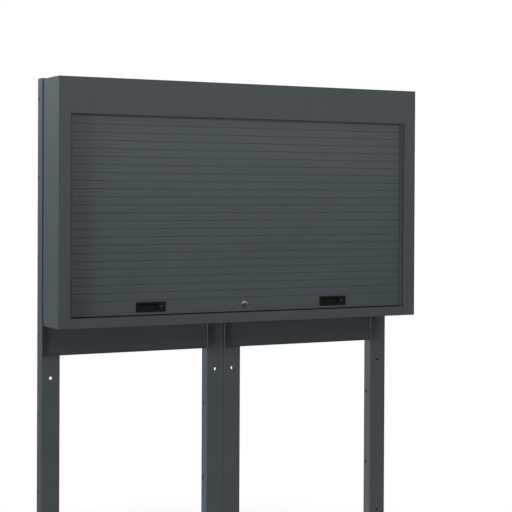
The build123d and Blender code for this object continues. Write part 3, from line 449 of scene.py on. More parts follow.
def seal_rubber(name, colour):
    """Extruded EPDM: soft black with a bloom of dust that greys it in patches, and no shine."""
    material, tree = new_material(name, colour)
    place = add_node(tree, "TexCoord").outputs["Object"]
    dust = add_node(tree, "TexNoise", {"Vector": place, "Scale": spots(16.7), "Detail": 5, "Roughness": 0.6})
    bloom = add_node(tree, "MapRange", {"Value": dust.outputs["Fac"], "From Min": 0.45, "From Max": 0.75})
    skin = add_node(
        tree, "Mix", {"Factor": bloom.outputs["Result"], "A": colour, "B": shade(colour, 0.8)},
        data_type="RGBA",
    )
    bump = add_node(tree, "Bump", {"Strength": 0.2, "Distance": 0.1 * MM, "Height": dust.outputs["Fac"]})
    rubber = add_node(
        tree, "BsdfPrincipled",
        {"Base Color": skin.outputs["Result"], "Roughness": 0.82,
         "Normal": bump.outputs["Normal"], "IOR": 1.5},
    )
    add_node(tree, "OutputMaterial", {"Surface": rubber.outputs["BSDF"]})
    return material


def plated_metal(name, colour, roughness, mottle, grain):
    """Plated or blackened metal. Satin chrome is brushed before plating, so it holds a soft shine; zinc plate
    is duller and greyer, with the blotchy tint of its passivation; blued and blackened steel are dark. The
    mottle is the share by which the tone varies, and the grain a blotch's width in millimetres."""
    material, tree = new_material(name, colour)
    place = add_node(tree, "TexCoord").outputs["Object"]
    blotch = add_node(
        tree, "TexNoise", {"Vector": place, "Scale": spots(grain), "Detail": 4, "Roughness": 0.55}
    )
    marks = add_node(tree, "TexNoise", {"Vector": place, "Scale": spots(grain / 8), "Detail": 2})
    skin = add_node(
        tree, "Mix",
        {"Factor": blotch.outputs["Fac"], "A": shade(colour, -mottle), "B": shade(colour, mottle)},
        data_type="RGBA",
    )
    rough = add_node(
        tree, "MapRange",
        {"Value": marks.outputs["Fac"], **NOISE_SPAN, "To Min": roughness * 0.8, "To Max": roughness * 1.3},
    )
    bump = add_node(tree, "Bump", {"Strength": 0.06, "Distance": 0.05 * MM, "Height": marks.outputs["Fac"]})
    plate = add_node(
        tree, "BsdfPrincipled",
        {"Base Color": skin.outputs["Result"], "Roughness": rough.outputs["Result"],
         "Normal": bump.outputs["Normal"], "Metallic": 1.0},
    )
    add_node(tree, "OutputMaterial", {"Surface": plate.outputs["BSDF"]})
    return material


# the finish in each colour setting: what makes it, its material's name, and what else that takes
RECIPES = {
    "cabinet": (powder_coat, "cabinet_powder_coat", {}),
    # painted light: the uprights' coat is drawn about 15 % lighter than the cabinet's, to lift the shade on
    # the uprights beneath the cabinet
    "upright": (powder_coat, "upright_powder_coat", {}),
    "shutter": (coated_aluminium, "shutter_coated_aluminium", {"roughness": 0.42}),
    "guide": (coated_aluminium, "guide_coated_aluminium", {"roughness": 0.5}),
    "plastic": (moulded_plastic, "pull_moulded_abs", {}),
    "seal": (seal_rubber, "seal_epdm_rubber", {}),
    "chrome": (plated_metal, "lock_satin_chrome", {"roughness": 0.32, "mottle": 0.04, "grain": 12}),
    "nickel": (plated_metal, "plug_nickel_plate", {"roughness": 0.2, "mottle": 0.04, "grain": 8}),
    "zinc": (plated_metal, "zinc_plated_steel", {"roughness": 0.36, "mottle": 0.1, "grain": 25}),
    "spring": (plated_metal, "blued_spring_steel", {"roughness": 0.3, "mottle": 0.12, "grain": 15}),
    "black_oxide": (plated_metal, "black_oxide_steel", {"roughness": 0.3, "mottle": 0.1, "grain": 6}),
}
FINISHES = {}


def finish_of(name):
    """One of the finishes, made once, in the colour that the scene's settings give it."""
    if name not in FINISHES:
        make, title, settings = RECIPES[name]
        colour = list(getattr(bpy.context.scene.cabinet_colours, name))
        FINISHES[name] = make(title, colour, **settings)
    return FINISHES[name]


# ---------------------------------------------------------------- what a user may change
def colour_setting(name, description, code):
    return FloatVectorProperty(
        name=name, description=description, subtype="COLOR", size=4, min=0, max=1, default=linear(code)
    )


def size_setting(name, description, value):
    """Length in metres, given here in millimetres."""
    return FloatProperty(
        name=name, description=description, unit="LENGTH", min=0, precision=5, default=value * MM
    )


class CabinetColours(PropertyGroup):
    cabinet: colour_setting("Cabinet", "Powder coat of the cabinet and its panels", "#484E52")
    # painted light: drawn about 15 % lighter than the cabinet's coat, to lift the shade on the uprights
    # beneath the cabinet
    upright: colour_setting("Uprights", "Powder coat of the uprights and hangers", "#4C5256")
    shutter: colour_setting("Shutter", "Coat of the slats and the bottom bar", "#4C5357")
    guide: colour_setting("Guides", "Finish of the guide rails", "#3F464A")
    plastic: colour_setting("Plastic", "Pulls, glides and feet", "#0A0D0E")
    seal: colour_setting("Seal", "Rubber under the bottom bar", "#0D0F10")
    chrome: colour_setting("Chrome", "Lock's rose and body", "#9A9EA0")
    nickel: colour_setting("Nickel", "Lock's plug", "#C8C6BE")
    zinc: colour_setting("Zinc", "Rods, roller, brackets, bolts and rivets", "#B2B7BA")
    spring: colour_setting("Spring", "Roller spring and straps", "#4A5058")
    black_oxide: colour_setting("Black oxide", "Screws of the pulls", "#7C8083")
    floor: colour_setting("Floor", "Floor and backdrop", "#F4F4F3")


class CabinetSizes(PropertyGroup):
    slat_edge: size_setting("Slat edge", "Radius along a slat's front edges", 0.5)
    slat_wall: size_setting("Slat wall", "Metal thickness of a slat", 1.2)
    fold: size_setting("Fold", "Outer radius of a folded sheet's edge", 2.0)
    cut_edge: size_setting("Cut edge", "Radius on a cut edge of sheet", 0.25)
    hole: size_setting("Hole", "Side of a square hole in the tool panel", 10.0)
    hole_pitch: size_setting("Hole pitch", "Distance between holes in the tool panel", 38.0)
    hole_columns: IntProperty(name="Hole columns", description="Holes in one row", min=1, default=35)
    hole_rows: IntProperty(name="Hole rows", description="Rows of holes", min=1, default=17)
    pull_corner: size_setting("Pull corner", "Radius of a pull's corners", 4.0)
    rivet: size_setting("Rivet", "Radius of a rivet's head", 3.2)


# ---------------------------------------------------------------- pieces
class CABINET_OT_slats(Operator):
    """Form one interlocking slat and copy it up the shutter"""

    bl_idname = "cabinet.slats"
    bl_label = "Slats"

    def execute(self, context):
        sizes = context.scene.cabinet_sizes
        low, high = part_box(SLATS[0])
        pitch = (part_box(SLATS[1])[0].z - low.z) / MM
        wall = sizes.slat_wall / MM
        front, back = depth_of(low.y), depth_of(high.y)
        tip = height_of(low.z)
        # the groove seen between two slats, the play in their joint, and the hook's reach below its slat
        groove, play, hook = 1.2, 0.2, 4.4
        foot = tip + hook  # where the slat's pitch starts
        bead = (front + back) / 2
        head = foot + pitch
        points = [
            (front, foot + groove), (front, head), (front + 2 * wall, head),
            (front + 2 * wall, head + groove - play), (bead, head + groove - play), (bead, head - wall),
            (front + wall, head - wall), (front + wall, foot + groove + wall), (back, foot + groove + wall),
            (back, tip), (back - 2 * wall, tip), (back - 2 * wall, tip + wall), (back - wall, tip + wall),
            (back - wall, foot + groove),
        ]
        slat = outline("shutter_slat_01", [at(low.x / MM, d, h) for d, h in points])
        move((high.x - low.x, 0, 0))
        outward()
        bevel_edges(slat, sizes.slat_edge, 3, lambda a, b: (
            near(a.y, low.y) and near(b.y, low.y) and near(a.z, b.z)
        ))
        round_over(slat, 0.15 * MM, 1, 50)
        slats = [slat]
        for number in range(1, len(SLATS)):
            slats.append(copied(slat, f"shutter_slat_{number + 1:02d}", (0, 0, number * pitch * MM)))
        for piece, node in zip(slats, SLATS):
            finished(piece, finish_of("shutter"), "shutter_anodised", "shutter", node)
            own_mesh(piece)
        return {"FINISHED"}


class CABINET_OT_bottom_bar(Operator):
    """Finish the bottom bar, its rubber seal, its glides and the straps above the slats"""

    bl_idname = "cabinet.bottom_bar"
    bl_label = "Bottom bar"

    def execute(self, context):
        sizes = context.scene.cabinet_sizes
        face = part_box("bottom_bar")[0].y
        bar = merged("bottom_bar", "bottom_bar_profile")
        bevel_edges(bar, sizes.slat_edge, 3, lambda a, b: (
            near(a.y, face) and near(b.y, face) and near(a.z, b.z) and abs(a.x - b.x) > LONG
        ))
        round_over(bar, 0.15 * MM, 1, 50)
        finished(bar, finish_of("shutter"), "shutter_anodised", "shutter", "bottom_bar")
        low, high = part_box("bottom_seal")
        front, back, bottom, top = depth_of(low.y), depth_of(high.y), height_of(low.z), height_of(high.z)
        middle = (front + back) / 2
        # a foot held by the bar, and a round lip that presses on the sill
        foot, lip = 0.7, 1.7
        turns = [radians(degrees) for degrees in range(50, -231, -28)]
        bead = [(middle + lip * cos(turn), bottom + lip + lip * sin(turn)) for turn in reversed(turns)]
        section = [(front, top), (front, top - foot), *bead, (back, top - foot), (back, top)]
        seal = outline("bottom_seal_lip", [at(low.x / MM, d, h) for d, h in section])
        move((high.x - low.x, 0, 0))
        outward()
        finished(seal, finish_of("seal"), "seal_rubber", "shutter", "bottom_seal")
        glides = round_over(merged("bar_glides", "bar_glide_blocks"), 0.6 * MM, 2)
        finished(glides, finish_of("plastic"), "black_plastic", "shutter", "bar_glides")
        straps = round_over(merged("curtain_straps", "shutter_straps"), 0.2 * MM, 1)
        finished(straps, finish_of("spring"), "strap_steel", "shutter", "curtain_straps")
        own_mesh(straps)
        return {"FINISHED"}


class CABINET_OT_pulls(Operator):
    """Mould the two flush pulls with their finger pockets, and drive their cross-head screws"""

    bl_idname = "cabinet.pulls"
    bl_label = "Pulls"

    def execute(self, context):
        sizes = context.scene.cabinet_sizes
        low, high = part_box("pull_left")
        face, flange_back, back = depth_of(low.y), depth_of(low.y) + 1.2, depth_of(high.y)
        left, right = low.x / MM, high.x / MM
        bottom, top = height_of(low.z), height_of(high.z)
        # the flange covers the edge of the bar's cut-out by the rim; the pocket has a wall all round
        rim, wall, pocket_length = 4.3, 1.5, 78.0
        flange = block("pull_left_moulding", at(left, face, bottom), at(right, flange_back, top))
        bevel_edges(flange, sizes.pull_corner, 5, lambda a, b: abs(a.y - b.y) > 0.5 * MM)
        body = block(
            "pull_body", at(left + rim, flange_back - 0.2, bottom + rim), at(right - rim, back, top - rim)
        )
        bevel_edges(body, 1.5 * MM, 3, lambda a, b: abs(a.y - b.y) > 2 * MM)
        change(flange, "BOOLEAN", operation="UNION", solver="EXACT", object=body)
        bpy.data.objects.remove(body)
        # the finger pocket narrows to its floor
        start, inset = left + rim + wall, rim + wall
        pocket = block(
            "pocket", at(start, face - 2, bottom + inset), at(start + pocket_length, back - wall, top - inset)
        )
        pick(pocket, "FACE", lambda c, n: n.y > 0.9)
        bpy.ops.transform.resize(value=(0.96, 1, 0.88))
        bevel_edges(pocket, 2.5 * MM, 4, lambda a, b: abs(a.y - b.y) > 2 * MM)
        bevel_edges(pocket, 1.2 * MM, 3, lambda a, b: min(depth_of(a.y), depth_of(b.y)) > back - wall - 0.1)
        cut(flange, pocket)
        head_radius = 3.6
        screw_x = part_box("pull_screws")[0].x / MM + head_radius
        middle = (bottom + top) / 2
        seated = at(screw_x, face + 0.25, middle)
        cut(flange, rod("seat", at(screw_x, face - 2, middle), seated, 4.2 * MM))
        pull = round_over(flange, 0.35 * MM, 2, 35)
        # the right pull is the same moulding
        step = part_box("pull_right")[0].x - low.x
        other = copied(pull, "pull_right_moulding", (step, 0, 0))
        for piece, node in ((pull, "pull_left"), (other, "pull_right")):
            finished(piece, finish_of("plastic"), "black_plastic", "shutter", node)

        low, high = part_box("pull_screws")
        head, end = depth_of(low.y), depth_of(high.y)
        screw = rod("pull_screw", at(screw_x, head, middle), seated, head_radius * MM)
        bevel_edges(screw, 0.8 * MM, 4, lambda a, b: near(a.y, low.y) and near(b.y, low.y))
        arm, slot = 4.2, 0.9  # the cross in the head
        for wide, tall in ((arm, slot), (slot, arm)):
            cut(screw, block(
                "cross", at(screw_x - wide / 2, head - 1, middle - tall / 2),
                at(screw_x + wide / 2, head + 0.75, middle + tall / 2),
            ))
        shank = rod("shank", at(screw_x, face + 0.2, middle), at(screw_x, end, middle), 1.6 * MM, 16)
        screw = joined("pull_screw", [screw, shank])
        pair = joined("pull_screw_pair", [screw, copied(screw, "other_screw", (step, 0, 0))])
        finished(pair, finish_of("black_oxide"), "black_screw", "shutter", "pull_screws")
        return {"FINISHED"}


class CABINET_OT_lock(Operator):
    """Turn the lock's rose and body, and its plug with the keyway"""

    bl_idname = "cabinet.lock"
    bl_label = "Lock"

    def execute(self, context):
        low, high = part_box("lock_body")
        centre = (low.z + high.z) / 2
        height = height_of(centre)
        face, back = depth_of(low.y), depth_of(high.y)
        # half section of the rose and body, spun about the lock's axis
        section = [
            (6.05, face + 0.9), (6.5, face + 0.25), (7.2, face), (8.0, face + 0.05), (8.8, face + 0.2),
            (9.6, face + 0.45), (10.4, face + 0.8), (11.2, face + 1.25), (11.9, face + 1.75),
            (12.5, face + 2.4), (10.0, face + 2.4), (10.0, back), (6.05, back),
        ]
        rose = outline("lock_rose", [at(0, d, height + r) for r, d in [*section, section[0]]], closed=False)
        bpy.ops.mesh.spin(steps=64, angle=2 * pi, center=at(0, 0, height), axis=(0, 1, 0))
        outward()
        finished(rose, finish_of("chrome"), "lock_chrome", "shutter", "lock_body")

        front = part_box("lock_plug")[0].y
        plug = merged("lock_plug", "lock_plug_keyed")
        rim = 5.9 * MM  # the face's edge lies farther from the axis than this, and the keyway's doesn't
        bevel_edges(plug, 0.5 * MM, 3, lambda *ends: all(
            near(end.y, front) and (end.x ** 2 + (end.z - centre) ** 2) ** 0.5 > rim for end in ends
        ))
        finished(plug, finish_of("nickel"), "lock_brass", "lock_plug", "lock_plug")
        for node, name, body in (
            ("lock_rod_left", "lock_bolt_left", "lock_rod_left"),
            ("lock_rod_right", "lock_bolt_right", "lock_rod_right"),
            ("rod_guides", "lock_rod_staples", "shutter"), ("lock_strikes", "lock_strike_plates", "frame"),
        ):
            finished(round_over(merged(node, name), 0.2 * MM, 1), finish_of("zinc"), "zinc_steel", body, node)
        return {"FINISHED"}


class CABINET_OT_carcass(Operator):
    """Fold the cabinet's sheets: front frame, sides, top, bottom, back and roller cover"""

    bl_idname = "cabinet.carcass"
    bl_label = "Carcass"

    def execute(self, context):
        sizes = context.scene.cabinet_sizes
        coat = finish_of("cabinet")
        front = round_over(merged("front_frame", "front_frame_sheet"), sizes.cut_edge, 2, 50)
        finished(front, coat, "cabinet_paint", "frame", "front_frame", angle=40)
        # each panel's outer face looks one way along an axis, and its folds run along another
        for node, hand, axis, along in (
            ("side_panel_left", -1, 0, 2), ("side_panel_right", 1, 0, 2),
            ("top_panel", 1, 2, 0), ("bottom_panel", -1, 2, 0),
        ):
            low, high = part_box(node)
            outer = (low if hand < 0 else high)[axis]
            panel = merged(node, f"{node}_sheet")
            round_folds(panel, axis, outer, -hand, sizes.fold, lambda a, b: abs(a[along] - b[along]) > LONG)
            round_over(panel, sizes.cut_edge, 1, 50)
            finished(panel, coat, "cabinet_paint", "frame", node)
        for node in ("back_sheet", "roller_cover"):
            sheet = round_over(merged(node, f"{node}_plain"), sizes.cut_edge, 1, 50)
            finished(sheet, coat, "cabinet_paint", "frame", node)

        # blind rivets hold the back sheet: columns in the sides' flanges, rows in the top's and the bottom's
        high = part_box("back_sheet")[1]
        face, proud = depth_of(high.y), 1.1
        column, foot = high.x / MM - 10, 30
        places = [(x, foot + 201.25 * k) for x in (-column, column) for k in range(5)]
        places += [(x, height) for x in range(-480, 481, 240) for height in (10, 855)]
        root, crown = at(-column, face - 0.4, foot), at(-column, face + proud, foot)
        rivet = rod("back_rivets", root, crown, sizes.rivet, 16)
        bevel_edges(rivet, 0.9 * MM, 3, lambda a, b: near(a.y, crown.y) and near(b.y, crown.y))
        rivets = [rivet]
        for x, height in places[1:]:
            rivets.append(copied(rivet, "rivet", ((x + column) * MM, 0, (height - foot) * MM)))
        finished(joined("back_rivets", rivets), finish_of("zinc"), "zinc_steel", "frame")
        return {"FINISHED"}


class CABINET_OT_tool_panel(Operator):
    """Punch the perforated tool panel behind the shutter"""

    bl_idname = "cabinet.tool_panel"
    bl_label = "Tool panel"

    def execute(self, context):
        sizes = context.scene.cabinet_sizes
        low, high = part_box("tool_panel")
        pitch, hole = sizes.hole_pitch, sizes.hole
        columns, rows = sizes.hole_columns, sizes.hole_rows
        middle = (low.z + high.z) / 2
        first = Vector((-(columns - 1) / 2 * pitch, low.y, middle - (rows - 1) / 2 * pitch))
        put_down()
        bpy.ops.mesh.primitive_plane_add(size=pitch, location=first, rotation=(radians(90), 0, 0))
        panel = bpy.context.object
        panel.name = "tool_panel_perforated"
        set_place()
        take(panel, "EDIT")
        bpy.ops.mesh.select_all(action="SELECT")
        bpy.ops.mesh.inset(thickness=(pitch - hole) / 2)
        bpy.ops.mesh.delete(type="FACE")
        for count, offset in ((columns, (pitch, 0, 0)), (rows, (0, 0, pitch))):
            change(
                panel, "ARRAY", count=count, use_relative_offset=False, use_constant_offset=True,
                constant_offset_displace=offset, use_merge_vertices=True, merge_threshold=0.01 * MM,
            )
        # plain margins, then the flanges that stand back to the cabinet's back sheet
        half_wide, half_high = columns * pitch / 2, rows * pitch / 2
        for axis, edge, reach in (
            (0, -half_wide, low.x), (0, half_wide, high.x),
            (2, middle - half_high, low.z), (2, middle + half_high, high.z),
        ):
            pick(panel, "EDGE", lambda a, b: near(a[axis], edge) and near(b[axis], edge))
            by = Vector((0, 0, 0))
            by[axis] = reach - edge
            move(by)
        for edge in (low.x, high.x):
            pick(panel, "EDGE", lambda a, b: near(a.x, edge) and near(b.x, edge))
            move((0, high.y - low.y, 0))
            bevel_edges(panel, sizes.fold, 3, lambda a, b: (
                near(a.x, edge) and near(b.x, edge) and near(a.y, low.y) and near(b.y, low.y)
            ))
        outward()
        sheet_forwards(panel, low.y)
        change(panel, "SOLIDIFY", thickness=SHEET * MM, offset=-1)
        finished(panel, finish_of("cabinet"), "cabinet_paint", "frame", "tool_panel")
        return {"FINISHED"}


class CABINET_OT_guides(Operator):
    """Finish the extruded guide rails"""

    bl_idname = "cabinet.guides"
    bl_label = "Guide rails"

    def execute(self, context):
        for hand in ("left", "right"):
            rail = round_over(merged(f"guide_rail_{hand}", f"guide_rail_{hand}_profile"), 0.3 * MM, 2)
            finished(rail, finish_of("guide"), "guide_aluminium", "frame", f"guide_rail_{hand}")
        return {"FINISHED"}


class CABINET_OT_roller(Operator):
    """Finish the roller, its shaft, spring and brackets"""

    bl_idname = "cabinet.roller"
    bl_label = "Roller"

    def execute(self, context):
        brackets = round_over(merged("roller_brackets", "roller_bracket_pair"), 0.4 * MM, 2)
        finished(brackets, finish_of("zinc"), "zinc_steel", "frame", "roller_brackets")
        repaint(finish_of("zinc"), "roller_tube", "roller_shaft")
        repaint(finish_of("spring"), "roller_spring")
        return {"FINISHED"}


class CABINET_OT_uprights(Operator):
    """Roll the four slotted uprights and set them on their feet"""

    bl_idname = "cabinet.uprights"
    bl_label = "Uprights"

    def execute(self, context):
        low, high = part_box(UPRIGHTS[0])
        lip = 12 * MM
        # the strip is folded along a line from lip to lip, then given its thickness
        line = [
            (low.x + lip, high.y), (low.x, high.y), (low.x, low.y),
            (high.x, low.y), (high.x, high.y), (high.x - lip, high.y),
        ]
        post = outline(f"{UPRIGHTS[0]}_rolled", [(x, y, low.z) for x, y in line], closed=False)
        move((0, 0, high.z - low.z))
        outward()
        bevel_edges(post, 3 * MM, 4, lambda a, b: (
            abs(a.z - b.z) > LONG and (near(a.x, low.x) or near(a.x, high.x))
        ))
        sheet_forwards(post, low.y)
        change(post, "SOLIDIFY", thickness=UPRIGHT_SHEET * MM, offset=-1, use_even_offset=True)
        cut(post, joined("slots", self.slots_and_holes(low, high)))
        round_over(post, 0.3 * MM, 1, 60)
        finished(post, finish_of("upright"), "upright_paint", "frame", UPRIGHTS[0])
        # the copies are made of the finished upright
        for node in UPRIGHTS[1:]:
            piece = copied(post, f"{node}_rolled", (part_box(node)[0].x - low.x, 0, 0))
            finished(piece, finish_of("upright"), "upright_paint", "frame", node)
        feet = round_over(merged("upright_feet", "upright_foot_blocks"), 1.5 * MM, 3)
        finished(feet, finish_of("plastic"), "black_plastic", "frame", "upright_feet")
        return {"FINISHED"}

    def slots_and_holes(self, low, high):
        """Cutters for an upright's side slots, its hangers' slots and its bench screws' holes."""
        middle, slot_line = (low.x + high.x) / 2, low.y + 30 * MM
        beyond = 5 * MM
        outside, inside = low.y - beyond, low.y + 6 * MM  # of the front wall
        cutters = []
        for number in range(SIDE_SLOT_COUNT):
            z = side_slot(high.z, number)
            start, end = (low.x - beyond, slot_line, z), (high.x + beyond, slot_line, z)
            cutters.append(self.slot(start, end, wide=8.5, tall=16))
        # a hanger hooks in at both its sides, at two heights above the cabinet's underside
        hook_side, hook_slot = 23.5 * MM, 34
        for height in (160, 700):
            z = BASE + (height + hook_slot / 2) * MM
            for x in (middle - hook_side, middle + hook_side):
                cutters.append(self.slot((x, outside, z), (x, inside, z), wide=4, tall=hook_slot))
        screw_hole = 5.5 * MM
        for z in (0.25, 0.85):
            cutters.append(rod("hole", (middle, outside, z), (middle, inside, z), screw_hole, 32))
        return cutters

    def slot(self, start, end, wide, tall):
        """Round-ended cutter from one point to another, its width and height in millimetres."""
        start, end = Vector(start), Vector(end)
        cutter = rod("slot", start, end, wide / 2 * MM, 24)
        for up in (1, -1):
            pick(cutter, "VERT", lambda co: up * (co.z - start.z) > 0.01 * MM)
            bpy.ops.transform.translate(value=(0, 0, up * (tall - wide) / 2 * MM))
        return cutter


class CABINET_OT_frame_bolts(Operator):
    """Bolt the two upright frames together through their side slots"""

    bl_idname = "cabinet.frame_bolts"
    bl_label = "Frame bolts"

    def execute(self, context):
        low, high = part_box("frame_bolts")
        y = (low.y + high.y) / 2
        first, *others = [side_slot(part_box(UPRIGHTS[0])[1].z, number) for number in BOLTED_SLOTS]
        parts = []
        for hand in (-1, 1):
            # a washer of 1.2 mm lies on each upright's wall, and a nut of 3.8 mm on the washer
            inner, seat, outer = [hand * (UPRIGHT_SHEET + out) * MM for out in (0, 1.2, 5)]
            parts.append(rod("washer", (inner, y, first), (seat, y, first), 7 * MM, 32))
            nut = rod("nut", (seat, y, first), (outer, y, first), 6.6 * MM, 6)
            parts.append(bevel_edges(nut, 0.7 * MM, 2, lambda a, b: near(a.x, outer) and near(b.x, outer)))
        parts.append(rod("bolt", (low.x + 0.2 * MM, y, first), (high.x, y, first), 4 * MM, 24))
        bolt = joined("frame_bolt", parts)
        bolts = [bolt] + [copied(bolt, "frame_bolt", (0, 0, height - first)) for height in others]
        finished(joined("frame_bolt_sets", bolts), finish_of("zinc"), "zinc_steel", "frame", "frame_bolts")
        return {"FINISHED"}


class CABINET_OT_hangers(Operator):
    """Fold the hanger brackets and the two lower back panels"""

    bl_idname = "cabinet.hangers"
    bl_label = "Hangers and lower panels"

    def execute(self, context):
        sizes = context.scene.cabinet_sizes
        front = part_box("hanger_brackets")[0].y
        hangers = merged("hanger_brackets", "hanger_bracket_set")
        plate = 3 * MM
        for face, radius in ((front, 3.5 * MM), (front + plate, 0.8 * MM)):
            bevel_edges(hangers, radius, 3, lambda a, b: (
                near(a.y, face) and near(b.y, face) and abs(a.z - b.z) > LONG
            ))
        round_over(hangers, sizes.cut_edge, 1, 50)
        finished(hangers, finish_of("upright"), "upright_paint", "frame", "hanger_brackets")
        for node in ("lower_panel_left", "lower_panel_right"):
            flange = 10 * MM  # turned forward, round all four sides
            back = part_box(node)[0].y + flange
            tray = merged(node, f"{node}_tray")
            for face, radius in ((back, sizes.fold * 0.8), (back - SHEET * MM, 0.5 * MM)):
                # the long and the short folds, and none of the ears' edges
                bevel_edges(tray, radius, 3, lambda a, b: (
                    near(a.y, face) and near(b.y, face) and (abs(a.x - b.x) > 0.4 or abs(a.z - b.z) > 0.1)
                ))
            round_over(tray, sizes.cut_edge, 1, 50)
            finished(tray, finish_of("cabinet"), "cabinet_paint", "frame", node)
        return {"FINISHED"}


# ---------------------------------------------------------------- light and camera
# each lamp's name, its place, what it points at, its width and height in metres, and its power in watts
LAMPS = (
    ("front_strip", (0.2, -1.7, 1.98), (0.2, 0, 1.6), 4.0, 0.6, 13.3),
    ("side_softbox", (-1.3, 0.2, 3.2), (-0.72, 0, 1.8), 0.8, 0.8, 25),
    ("back_softbox", (0.8, 3.6, 2.4), (0, 0, 1.2), 3.0, 2.0, 60),
)
# the fills lift the shade and don't show in the coat's shine
FILLS = (
    ("low_fill", (0.3, -2.5, 0.6), (0, 0, 0.9), 3.6, 0.6, 6.5),
    ("left_fill", (-14, -3.6, 1.0), (0, 0, 1.2), 3.0, 1.5, 1350),
    ("right_fill", (4.0, 0.9, 1.6), (0.7, 0, 1.4), 1.5, 1.5, 70),
)
# each flag's name, its line as y and z from the cabinet outwards, and its width, all in metres
FLAG_LEFT = -7  # x of where both start
FLAGS = (
    ("front_flag", ((-1, 0.01), (-6, 0.01), (-7, 1), (-7, 7)), 17),
    ("side_flag", ((-2, 0.01), (3, 0.01), (3.5, 0.3), (3.5, 2.2)), 6.24),
)
LENS, SENSOR = 99.826, 36  # millimetres
CAMERA_PLACE = (-2.35635, -4.71681, 1.50244)
CAMERA_TURN = (89.5, -0.2628, -27.459)  # degrees
CAMERA_SHIFT = -0.095  # of the frame's width, downwards


def seen_rays(tree):
    """1 for what is seen straight, in a reflection or through glass, and 0 for light on a piece."""
    path = add_node(tree, "LightPath").outputs
    seen = path["Is Camera Ray"]
    for ray in ("Is Glossy Ray", "Is Transmission Ray"):
        seen = add_node(tree, "Math", {0: seen, 1: path[ray]}, operation="MAXIMUM").outputs[0]
    return seen


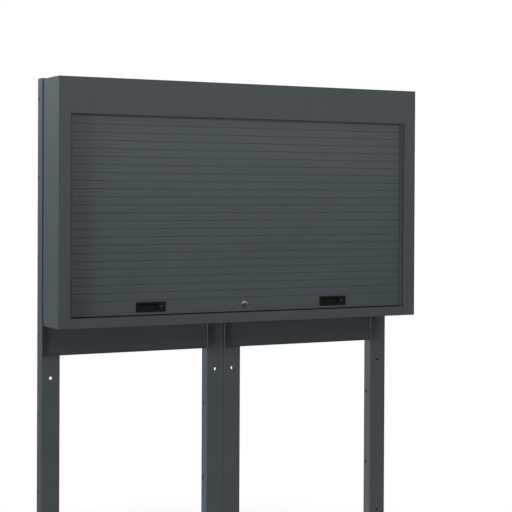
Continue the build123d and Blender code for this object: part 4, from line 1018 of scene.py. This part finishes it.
class CABINET_OT_stage(Operator):
    """Lay the pale floor, hang the lamps and set up the camera"""

    bl_idname = "cabinet.stage"
    bl_label = "Stage"

    def execute(self, context):
        scene = context.scene
        scene.view_settings.view_transform = "Standard"
        self.floor(list(scene.cabinet_colours.floor))
        self.world(scene)
        for lamp in LAMPS:
            self.lamp(scene, *lamp)
        for fill in FILLS:
            self.lamp(scene, *fill).visible_glossy = False
        self.flags()
        self.camera(scene)
        return {"FINISHED"}

    def floor(self, colour):
        """Pale floor that keeps the cabinet's shadow and fades to plain white away from it."""
        put_down()
        bpy.ops.mesh.primitive_circle_add(vertices=96, radius=60, fill_type="NGON", location=(0, 0, 0))
        ground = bpy.context.object
        ground.name = "floor"
        material, tree = new_material("studio_floor", colour)
        place = add_node(tree, "TexCoord").outputs["Object"]
        away = add_node(tree, "VectorMath", {0: place}, operation="LENGTH")
        # three tenths of the way to plain white up to 0.8 m from the middle, and all white from 1.9 m on
        fade = add_node(
            tree, "MapRange",
            {"Value": away.outputs["Value"], "From Min": 0.8, "From Max": 1.9, "To Min": 0.3, "To Max": 1.0},
            interpolation_type="SMOOTHSTEP",
        )
        seen = seen_rays(tree)
        white = add_node(tree, "Math", {0: seen, 1: fade.outputs["Result"]}, operation="MULTIPLY")
        # what the floor throws back is held down, so that the cabinet isn't lit from below
        tint = add_node(
            tree, "Mix", {"Factor": seen, "A": (0.22, 0.22, 0.22, 1), "B": colour}, data_type="RGBA"
        )
        matt = add_node(tree, "BsdfDiffuse", {"Color": tint.outputs["Result"]})
        glow = add_node(tree, "Emission", {"Color": WHITE, "Strength": 1.0})
        mixed = add_node(tree, "MixShader", {0: white.outputs[0], 1: matt.outputs[0], 2: glow.outputs[0]})
        add_node(tree, "OutputMaterial", {"Surface": mixed.outputs[0]})
        ground.data.materials.append(material)

    def world(self, scene):
        """Even soft light all round; the camera and reflections see plain white."""
        scene.world = bpy.data.worlds.new("studio")
        scene.world.use_nodes = True
        tree = scene.world.node_tree
        tree.nodes.clear()
        soft = add_node(tree, "Background", {"Color": (0.95, 0.97, 1.0, 1), "Strength": 0.3})
        white = add_node(tree, "Background", {"Color": WHITE, "Strength": 1.0})
        mixed = add_node(tree, "MixShader", {0: seen_rays(tree), 1: soft.outputs[0], 2: white.outputs[0]})
        add_node(tree, "OutputWorld", {"Surface": mixed.outputs[0]})

    def lamp(self, scene, name, place, aim, wide, tall, power):
        """Rectangular lamp that the camera doesn't see."""
        light = bpy.data.lights.new(name, "AREA")
        light.shape = "RECTANGLE"
        light.size, light.size_y = wide, tall
        light.energy = power
        lamp = bpy.data.objects.new(name, light)
        lamp.location = place
        lamp.rotation_euler = (Vector(aim) - Vector(place)).to_track_quat("-Z", "Y").to_euler()
        lamp.visible_camera = False
        scene.collection.objects.link(lamp)
        return lamp

    def flags(self):
        """Dark cloths on the floor before and beside the cabinet, turned up at their ends, that only show
        in its shine."""
        dark = (0.05, 0.055, 0.06, 1)
        material, tree = new_material("black_velvet_flag", dark)
        glow = add_node(tree, "Emission", {"Color": dark, "Strength": 1.0})
        add_node(tree, "OutputMaterial", {"Surface": glow.outputs[0]})
        for name, line, wide in FLAGS:
            flag = outline(name, [(FLAG_LEFT, y, z) for y, z in line], closed=False)
            move((wide, 0, 0))
            put_down()
            flag.visible_camera = flag.visible_shadow = False
            flag.visible_diffuse = flag.visible_transmission = False
            flag.data.materials.append(material)

    def camera(self, scene):
        """Long lens, left of the cabinet and level with its middle."""
        camera = bpy.data.cameras.new("camera")
        camera.lens, camera.sensor_width = LENS, SENSOR
        camera.shift_y = CAMERA_SHIFT
        camera.clip_end = 200
        eye = bpy.data.objects.new("camera", camera)
        eye.location = CAMERA_PLACE
        eye.rotation_euler = [radians(turn) for turn in CAMERA_TURN]
        scene.collection.objects.link(eye)
        scene.camera = eye


class CABINET_PT_tools(Panel):
    """Lists the cabinet's settings and pieces in the sidebar"""

    bl_idname = "CABINET_PT_tools"
    bl_label = "Tool cabinet"
    bl_space_type = "VIEW_3D"
    bl_region_type = "UI"
    bl_category = "Tool cabinet"

    def draw(self, context):
        column = self.layout.column()
        for group in (context.scene.cabinet_sizes, context.scene.cabinet_colours):
            for name in group.__annotations__:
                column.prop(group, name)
        for operator in OPERATORS:
            column.operator(operator.bl_idname)


OPERATORS = (
    CABINET_OT_stage,
    CABINET_OT_carcass,
    CABINET_OT_tool_panel,
    CABINET_OT_guides,
    CABINET_OT_slats,
    CABINET_OT_bottom_bar,
    CABINET_OT_pulls,
    CABINET_OT_lock,
    CABINET_OT_roller,
    CABINET_OT_uprights,
    CABINET_OT_frame_bolts,
    CABINET_OT_hangers,
)
CLASSES = (CabinetSizes, CabinetColours, *OPERATORS, CABINET_PT_tools)


def register():
    for item in CLASSES:
        bpy.utils.register_class(item)
    bpy.types.Scene.cabinet_sizes = PointerProperty(type=CabinetSizes)
    bpy.types.Scene.cabinet_colours = PointerProperty(type=CabinetColours)


def unregister():
    del bpy.types.Scene.cabinet_colours
    del bpy.types.Scene.cabinet_sizes
    for item in reversed(CLASSES):
        bpy.utils.unregister_class(item)


def main():
    """Makes every piece in order."""
    register()
    bpy.ops.cabinet.stage()
    bpy.ops.cabinet.carcass()
    bpy.ops.cabinet.tool_panel()
    bpy.ops.cabinet.guides()
    bpy.ops.cabinet.slats()
    bpy.ops.cabinet.bottom_bar()
    bpy.ops.cabinet.pulls()
    bpy.ops.cabinet.lock()
    bpy.ops.cabinet.roller()
    bpy.ops.cabinet.uprights()
    bpy.ops.cabinet.frame_bolts()
    bpy.ops.cabinet.hangers()


if __name__ == "__main__":
    main()
